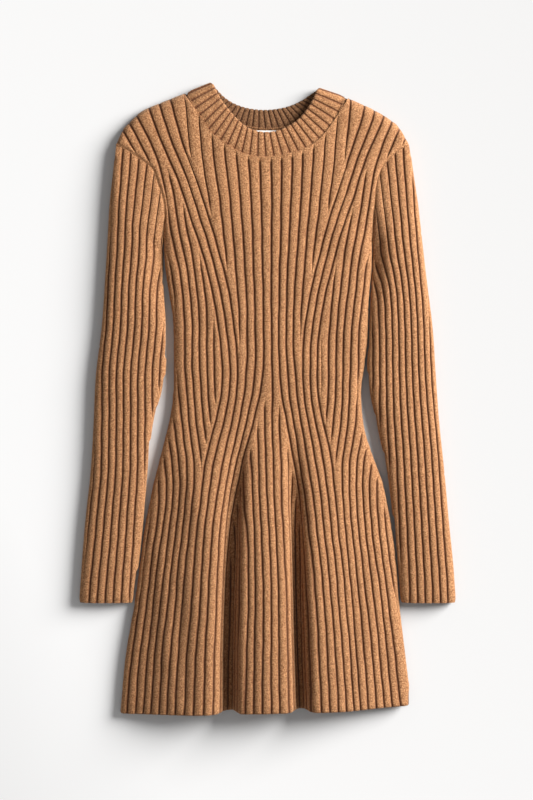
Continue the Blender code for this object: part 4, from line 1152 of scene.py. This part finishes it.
def stitch_tree():
    """Geometry Nodes: a row of small looped stitches along a path, each with its own tilt."""
    tree = bpy.data.node_groups.new("row_of_stitches", "GeometryNodeTree")
    sockets = tree.interface
    sockets.new_socket("Path", in_out="INPUT", socket_type="NodeSocketGeometry")
    for name in ("Spacing", "Length", "Width", "Height", "Splay"):
        sockets.new_socket(name, in_out="INPUT", socket_type="NodeSocketFloat")
    sockets.new_socket("Yarn", in_out="INPUT", socket_type="NodeSocketMaterial")
    sockets.new_socket("Stitches", in_out="OUTPUT", socket_type="NodeSocketGeometry")
    nodes, links = tree.nodes, tree.links
    given = nodes.new("NodeGroupInput")
    result = nodes.new("NodeGroupOutput")
    points = nodes.new("GeometryNodeCurveToPoints")
    points.mode = "LENGTH"
    links.new(given.outputs["Path"], points.inputs["Curve"])
    links.new(given.outputs["Spacing"], points.inputs["Length"])
    turn = nodes.new("FunctionNodeAlignRotationToVector")
    turn.axis = "X"
    links.new(points.outputs["Tangent"], turn.inputs["Vector"])
    size = nodes.new("ShaderNodeCombineXYZ")
    for axis, name in zip("XYZ", ("Length", "Width", "Height")):
        links.new(given.outputs[name], size.inputs[axis])
    loops = nodes.new("GeometryNodeJoinGeometry")
    for sign in (1, -1):
        strand = nodes.new("GeometryNodeMeshUVSphere")
        strand.inputs["Segments"].default_value = 6
        strand.inputs["Rings"].default_value = 4
        strand.inputs["Radius"].default_value = 0.5
        place = nodes.new("GeometryNodeTransform")
        links.new(strand.outputs["Mesh"], place.inputs["Geometry"])
        links.new(size.outputs["Vector"], place.inputs["Scale"])
        tilt = nodes.new("GeometryNodeTransform")
        links.new(place.outputs["Geometry"], tilt.inputs["Geometry"])
        angle = nodes.new("ShaderNodeMath")
        angle.operation = "MULTIPLY"
        angle.inputs[1].default_value = sign
        links.new(given.outputs["Splay"], angle.inputs[0])
        spin = nodes.new("FunctionNodeAxisAngleToRotation")
        spin.inputs["Axis"].default_value = (0.0, 0.0, 1.0)
        links.new(angle.outputs["Value"], spin.inputs["Angle"])
        links.new(spin.outputs["Rotation"], tilt.inputs["Rotation"])
        half = nodes.new("ShaderNodeMath")
        half.operation = "MULTIPLY"
        half.inputs[1].default_value = 0.45 * sign
        links.new(given.outputs["Width"], half.inputs[0])
        shift = nodes.new("ShaderNodeCombineXYZ")
        links.new(half.outputs["Value"], shift.inputs["Y"])
        links.new(shift.outputs["Vector"], tilt.inputs["Translation"])
        links.new(tilt.outputs["Geometry"], loops.inputs["Geometry"])
    vary = nodes.new("FunctionNodeRandomValue")
    vary.data_type = "FLOAT"
    vary.inputs["Min"].default_value = 0.85
    vary.inputs[3].default_value = 1.15
    vary.inputs["Seed"].default_value = 7
    on_points = nodes.new("GeometryNodeInstanceOnPoints")
    links.new(points.outputs["Points"], on_points.inputs["Points"])
    links.new(loops.outputs["Geometry"], on_points.inputs["Instance"])
    links.new(turn.outputs["Rotation"], on_points.inputs["Rotation"])
    links.new(vary.outputs[1], on_points.inputs["Scale"])
    realize = nodes.new("GeometryNodeRealizeInstances")
    yarn = nodes.new("GeometryNodeSetMaterial")
    links.new(on_points.outputs["Instances"], realize.inputs["Geometry"])
    links.new(realize.outputs["Geometry"], yarn.inputs["Geometry"])
    links.new(given.outputs["Yarn"], yarn.inputs["Material"])
    links.new(yarn.outputs["Geometry"], result.inputs["Stitches"])
    return tree


def sew(name, lines, tree, material, sizes):
    """One piece of stitches along several lines of points, which are in millimetres."""
    curve = bpy.data.curves.new(name + "_path", "CURVE")
    curve.dimensions = "3D"
    for line in lines:
        spline = curve.splines.new("POLY")
        spline.points.add(len(line) - 1)
        for point, place in zip(spline.points, (np.array(line) + SHIFT) * MM):
            point.co = (*place, 1.0)
    path = bpy.data.objects.new(name + "_path", curve)
    bpy.context.scene.collection.objects.link(path)
    rows = path.modifiers.new("stitches", "NODES")
    rows.node_group = tree
    for socket in tree.interface.items_tree:
        if socket.in_out == "INPUT" and socket.name in sizes:
            rows[socket.identifier] = sizes[socket.name]
        elif socket.in_out == "INPUT" and socket.name == "Yarn":
            rows[socket.identifier] = material
    graph = bpy.context.evaluated_depsgraph_get()
    mesh = bpy.data.meshes.new_from_object(path.evaluated_get(graph), depsgraph=graph)
    mesh.name = name
    mesh.shade_smooth()
    bpy.data.objects.remove(path)
    piece = bpy.data.objects.new(name, mesh)
    bpy.context.scene.collection.objects.link(piece)
    return piece


def neck_seam_lines():
    """The linking seam on the front, and inside the back."""
    shares = np.linspace(0.02, 0.98, 160)
    front = along_line(FRONT_NECK_LINE[1:], shares, 0.2)
    back = along_line(BACK_NECK_LINE[1:], shares, 0.2)
    front_z = [max(float(front_height(x, y - 2)), BAND_HEIGHT - 1) + WALL + NECK_STITCH_RISE
               for x, y in front]
    return [[(*place, z) for place, z in zip(front, front_z)], [(*place, BACK_WALL) for place in back]]


def armhole_seam_line(side):
    """Between the front and a sleeve's head, from the shoulder to the underarm."""
    seam = armhole(side, ROW_STEP)
    sign = -1 if side == "left" else 1
    line = []
    for x, y in seam[1:-1]:
        z = float(front_height(x - sign * (WALL + SLEEVE_CLEARANCE), y)) + WALL
        line.append((x - sign * SLEEVE_CLEARANCE / 2, y, z + ARMHOLE_STITCH_RISE))
    return line


# ================================================================ materials

def mixed(tree, kind, blend, factor, first, second):
    """A Mix node of colours or values; each input is a socket or a plain value."""
    node = tree.nodes.new("ShaderNodeMix")
    node.data_type = kind
    if kind == "RGBA":
        node.blend_type = blend
    names = {"FLOAT": (0, 2, 3, 0), "RGBA": (0, 6, 7, 2)}[kind]
    for index, value in zip(names, (factor, first, second)):
        if isinstance(value, bpy.types.NodeSocket):
            tree.links.new(value, node.inputs[index])
        else:
            node.inputs[index].default_value = value
    return node.outputs[names[3]]


def worked(tree, operation, *values):
    """A Math node; each input is a socket or a number."""
    node = tree.nodes.new("ShaderNodeMath")
    node.operation = operation
    for i, value in enumerate(values):
        if isinstance(value, bpy.types.NodeSocket):
            tree.links.new(value, node.inputs[i])
        else:
            node.inputs[i].default_value = value
    return node.outputs["Value"]


def speckled(tree, place, scale, detail, roughness=0.6):
    """An even noise over the piece, with so many marks to a metre."""
    noise = tree.nodes.new("ShaderNodeTexNoise")
    noise.inputs["Scale"].default_value = scale
    noise.inputs["Detail"].default_value = detail
    noise.inputs["Roughness"].default_value = roughness
    tree.links.new(place, noise.inputs["Vector"])
    return noise.outputs["Fac"]


def ramp(tree, value, low, high):
    """A smooth step from 0 at one value to 1 at another; both may be sockets."""
    node = tree.nodes.new("ShaderNodeMapRange")
    node.interpolation_type = "SMOOTHSTEP"
    for name, limit in (("From Min", low), ("From Max", high)):
        if isinstance(limit, bpy.types.NodeSocket):
            tree.links.new(limit, node.inputs[name])
        else:
            node.inputs[name].default_value = limit
    tree.links.new(value, node.inputs["Value"])
    return node.outputs["Result"]


def melange_and_shade_group():
    """Shader group: the colour and height of brushed melange wool, stitch by stitch, with painted shade
    in its gutters, between its loops and low over the floor.
    """
    tree = bpy.data.node_groups.new("melange_knit_and_painted_shade", "ShaderNodeTree")
    for name in ("Light Fibre", "Dark Fibre", "Gutter Shade"):
        tree.interface.new_socket(name, in_out="INPUT", socket_type="NodeSocketColor")
    for name in ("Wales", "Course", "Shade Low", "Shade High"):
        tree.interface.new_socket(name, in_out="INPUT", socket_type="NodeSocketFloat")
    tree.interface.new_socket("Colour", in_out="OUTPUT", socket_type="NodeSocketColor")
    tree.interface.new_socket("Height", in_out="OUTPUT", socket_type="NodeSocketFloat")
    given = tree.nodes.new("NodeGroupInput")
    result = tree.nodes.new("NodeGroupOutput")
    place = tree.nodes.new("ShaderNodeTexCoord").outputs["Object"]
    stitch_map = tree.nodes.new("ShaderNodeUVMap")
    stitch_map.uv_map = "stitches"
    split = tree.nodes.new("ShaderNodeSeparateXYZ")
    tree.links.new(stitch_map.outputs["UV"], split.inputs["Vector"])
    across, along = split.outputs["X"], split.outputs["Y"]

    fibres = speckled(tree, place, FIBRE_SCALE, 4.0, 0.75)
    clumps = speckled(tree, place, CLUMP_SCALE, 3.0)
    drift = speckled(tree, place, DRIFT_SCALE, 2.0)

    wale = worked(tree, "FRACT", worked(tree, "MULTIPLY", across, given.outputs["Wales"]))
    aside = worked(tree, "ABSOLUTE", worked(tree, "SUBTRACT", wale, 0.5))
    course = worked(tree, "DIVIDE", along, given.outputs["Course"])
    unevenness = worked(tree, "MULTIPLY", clumps, 0.9)
    phase = worked(tree, "ADD", worked(tree, "ADD", course, worked(tree, "MULTIPLY", aside, 1.3)),
                   unevenness)
    loop = worked(tree, "COSINE", worked(tree, "MULTIPLY", phase, 2 * math.pi))
    loop = worked(tree, "MULTIPLY_ADD", loop, 0.5, 0.5)
    strand = worked(tree, "SINE", worked(tree, "MULTIPLY", aside, 2 * math.pi))
    stitch = worked(tree, "MULTIPLY", loop, worked(tree, "MULTIPLY_ADD", strand, 0.6, 0.4))

    # Painted shade in each gutter, strongest at its middle; the loops and clumps move its edge
    edge = worked(tree, "ABSOLUTE", worked(tree, "SUBTRACT", across, 0.5))
    edge = worked(tree, "MULTIPLY_ADD", loop, GUTTER_LOOPS, edge)
    edge = worked(tree, "MULTIPLY_ADD", clumps, GUTTER_CLUMPS, edge)
    gutter = ramp(tree, edge, *GUTTER_EDGE)

    colour = mixed(tree, "RGBA", "MIX", ramp(tree, fibres, 0.38, 0.62), given.outputs["Dark Fibre"],
                   given.outputs["Light Fibre"])
    tone = mixed(tree, "FLOAT", "", clumps, *CLUMP_TONES)
    colour = mixed(tree, "RGBA", "MULTIPLY", 1.0, colour, tone)
    broad = mixed(tree, "FLOAT", "", drift, *DRIFT_TONES)
    colour = mixed(tree, "RGBA", "MULTIPLY", 1.0, colour, broad)
    # Painted shade between the loops of each stitch, a little lighter on their tops
    stitch_shade = mixed(tree, "FLOAT", "", stitch, *STITCH_SHADE_TONES)
    colour = mixed(tree, "RGBA", "MULTIPLY", 1.0, colour, stitch_shade)
    colour = mixed(tree, "RGBA", "MIX", worked(tree, "MULTIPLY", gutter, GUTTER_SHADE_STRENGTH), colour,
                   given.outputs["Gutter Shade"])
    # Painted shade: the colour darkens low over the floor, deep between the layers
    height_up = tree.nodes.new("ShaderNodeSeparateXYZ")
    tree.links.new(place, height_up.inputs["Vector"])
    lit = ramp(tree, height_up.outputs["Z"], given.outputs["Shade Low"], given.outputs["Shade High"])
    lit = mixed(tree, "FLOAT", "", lit, INNER_SHADE, 1.0)
    colour = mixed(tree, "RGBA", "MULTIPLY", 1.0, colour, lit)
    height = worked(tree, "ADD", worked(tree, "MULTIPLY", stitch, 0.55),
                    worked(tree, "MULTIPLY", fibres, 0.6))
    tree.links.new(colour, result.inputs["Colour"])
    tree.links.new(height, result.inputs["Height"])
    return tree


def shaded(name, roughness, sheen=0.0):
    """A new material with its Principled shader's plain values set."""
    material = bpy.data.materials.new(name)
    material.use_nodes = True
    shader = material.node_tree.nodes["Principled BSDF"]
    shader.inputs["Roughness"].default_value = roughness
    shader.inputs["Specular IOR Level"].default_value = 0.25
    shader.inputs["Sheen Weight"].default_value = sheen
    shader.inputs["Sheen Roughness"].default_value = 0.45
    shader.inputs["Sheen Tint"].default_value = (1.0, 0.80, 0.60, 1.0)
    return material, shader


def knit_material(name, group, wales, course, relief, shade):
    """Brushed camel melange in rib with painted shade, with its stitches as wide as the piece's own.

    The painted shade is two heights over the floor, in millimetres: the knit's colour is painted darker
    below the first.
    """
    material, shader = shaded(name, 0.92, SHEEN)
    tree = material.node_tree
    melange = tree.nodes.new("ShaderNodeGroup")
    melange.node_tree = group
    given = {"Light Fibre": LIGHT_FIBRE, "Dark Fibre": DARK_FIBRE, "Gutter Shade": GUTTER_SHADE_COLOUR,
             "Wales": wales, "Course": course * MM, "Shade Low": shade[0] * MM,
             "Shade High": shade[1] * MM}
    for socket, value in given.items():
        melange.inputs[socket].default_value = value
    tree.links.new(melange.outputs["Colour"], shader.inputs["Base Color"])
    bump = tree.nodes.new("ShaderNodeBump")
    bump.inputs["Strength"].default_value = 0.7
    bump.inputs["Distance"].default_value = relief * MM
    tree.links.new(melange.outputs["Height"], bump.inputs["Height"])
    tree.links.new(bump.outputs["Normal"], shader.inputs["Normal"])
    return material


def yarn_material(name):
    """The same wool as a thread, without a stitch pattern."""
    material, shader = shaded(name, 0.92, SHEEN)
    tree = material.node_tree
    place = tree.nodes.new("ShaderNodeTexCoord").outputs["Object"]
    fibres = speckled(tree, place, THREAD_SCALE, 3.0)
    colour = mixed(tree, "RGBA", "MIX", ramp(tree, fibres, 0.3, 0.7), DARK_FIBRE, LIGHT_FIBRE)
    tree.links.new(colour, shader.inputs["Base Color"])
    return material


def tape_material(name):
    """White woven tape, bare, with a fine check of weft and warp."""
    material, shader = shaded(name, 0.55)
    tree = material.node_tree
    place = tree.nodes.new("ShaderNodeTexCoord").outputs["Object"]
    split = tree.nodes.new("ShaderNodeSeparateXYZ")
    tree.links.new(place, split.inputs["Vector"])
    threads = []
    for axis, pitch in (("Y", 0.35 * MM), ("X", 0.25 * MM)):
        phase = worked(tree, "MULTIPLY", split.outputs[axis], 2 * math.pi / pitch)
        threads.append(worked(tree, "SINE", phase))
    weave = worked(tree, "MULTIPLY_ADD", worked(tree, "MULTIPLY", *threads), 0.5, 0.5)
    soft = speckled(tree, place, 220.0, 2.0)
    colour = mixed(tree, "RGBA", "MIX", worked(tree, "MULTIPLY", soft, weave),
                   (0.80, 0.79, 0.76, 1.0), (0.92, 0.92, 0.90, 1.0))
    tree.links.new(colour, shader.inputs["Base Color"])
    bump = tree.nodes.new("ShaderNodeBump")
    bump.inputs["Strength"].default_value = 0.4
    bump.inputs["Distance"].default_value = 0.05 * MM
    tree.links.new(weave, bump.inputs["Height"])
    tree.links.new(bump.outputs["Normal"], shader.inputs["Normal"])
    return material


def floor_material(name):
    """A pale matt floor that looks evenly bright, being darker where it is nearer to the lamp."""
    material, shader = shaded(name, 0.9)
    tree = material.node_tree
    place = tree.nodes.new("ShaderNodeTexCoord").outputs["Object"]
    reach = tree.nodes.new("ShaderNodeVectorMath")
    reach.operation = "DISTANCE"
    reach.inputs[1].default_value = KEY_PLACE
    tree.links.new(place, reach.inputs[0])
    near = worked(tree, "POWER", worked(tree, "DIVIDE", KEY_DISTANCE, reach.outputs["Value"]), 3.0)
    light = worked(tree, "MULTIPLY_ADD", near, KEY_SHARE, 1.0 - KEY_SHARE)
    tone = worked(tree, "DIVIDE", FLOOR_TONE, worked(tree, "MAXIMUM", light, DIMMEST))
    colour = mixed(tree, "RGBA", "MULTIPLY", 1.0, tone, (0.998, 0.999, 1.0, 1.0))
    tree.links.new(colour, shader.inputs["Base Color"])
    return material


# ================================================================ studio

def make_floor():
    """The surface that the dress lies on."""
    mesh = bpy.data.meshes.new("studio_floor")
    size = 12.0
    mesh.from_pydata([(-size, -size, 0), (size, -size, 0), (size, size, 0), (-size, size, 0)], [],
                     [(0, 1, 2, 3)])
    mesh.materials.append(floor_material("pale_floor"))
    floor = bpy.data.objects.new("studio_floor", mesh)
    floor.location.z = -0.0002
    bpy.context.scene.collection.objects.link(floor)


def make_light():
    """A broad key lamp low on the right, and an even fill from all round."""
    key = bpy.data.lights.new("key", "AREA")
    key.shape = "DISK"
    key.size = 2 * KEY_DISTANCE * math.tan(KEY_SPREAD / 2)
    key.energy = KEY_POWER
    key.color = (1.0, 0.99, 0.98)
    lamp = bpy.data.objects.new("key", key)
    lamp.location = KEY_PLACE
    lamp.rotation_euler = (0.0, math.pi / 2 - KEY_ELEVATION, KEY_BEARING)
    bpy.context.scene.collection.objects.link(lamp)
    world = bpy.data.worlds.new("studio")
    world.use_nodes = True
    sky = world.node_tree.nodes["Background"]
    sky.inputs["Color"].default_value = (1.0, 1.0, 1.0, 1.0)
    sky.inputs["Strength"].default_value = FILL_STRENGTH
    bpy.context.scene.world = world


def make_camera():
    """The view straight down on the front."""
    data = bpy.data.cameras.new("camera")
    data.sensor_width = 36.0
    data.lens = 36.0 * CAMERA_HEIGHT / VIEW_LENGTH
    data.clip_end = 50.0
    camera = bpy.data.objects.new("camera", data)
    camera.location = (CAMERA_PLACE[0], CAMERA_PLACE[1], CAMERA_HEIGHT + CAMERA_LEVEL)
    bpy.context.scene.collection.objects.link(camera)
    bpy.context.scene.camera = camera


def main():
    """Builds the studio and the dress, hides the frame's parts that the pieces stand for, and hangs
    every piece under the frame's root.
    """
    bpy.context.scene.view_settings.view_transform = "Standard"
    make_camera()
    make_light()
    make_floor()
    melange = melange_and_shade_group()
    # The last pair of each knit is its painted shade; the back lies wholly below it, so all of it is
    # painted darker
    body = knit_material("camel_rib_knit", melange, 3.0, 2.1, 0.55, (1.0, 6.0))
    inside = knit_material("camel_back_knit_in_painted_shade", melange, 3.0, 2.1, 0.55, (4.0, 8.0))
    band = knit_material("camel_band_knit", melange, 2.0, 2.0, 0.5, (4.5, 8.5))
    yarn = yarn_material("camel_linking_yarn")
    tape = tape_material("white_label_tape")
    tree = stitch_tree()
    front = make_front(body)
    back = make_back(inside)
    left = make_sleeve("left", SLEEVE_LEFT, body)
    right = make_sleeve("right", SLEEVE_RIGHT, body)
    neckband = make_neckband(band)
    label = make_label(tape)
    armhole_lines = [armhole_seam_line(side) for side in ("left", "right")]
    seams = [sew("neck_linking", neck_seam_lines(), tree, yarn, NECK_STITCH),
             sew("armhole_linking", armhole_lines, tree, yarn, ARMHOLE_STITCH)]

    # Each knit piece: its node, its cut, how it is held and what it rests on
    knitted = [(front, "front", FRONT_SHEET, "laid", back),
               (back, "back", BACK_SHEET, "laid", "studio_floor"),
               (left, "sleeve_left", SLEEVE_SHEET, "laid", "studio_floor"),
               (right, "sleeve_right", SLEEVE_SHEET, "laid", "studio_floor"),
               (neckband, "neckband", BAND_SHEET, "folded", back)]
    for piece, node, _, _, _ in knitted:
        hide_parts(node)
        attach(piece, "root")
    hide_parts("label")
    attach(label, "root")
    for seam in seams:
        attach(seam, "root")


main()
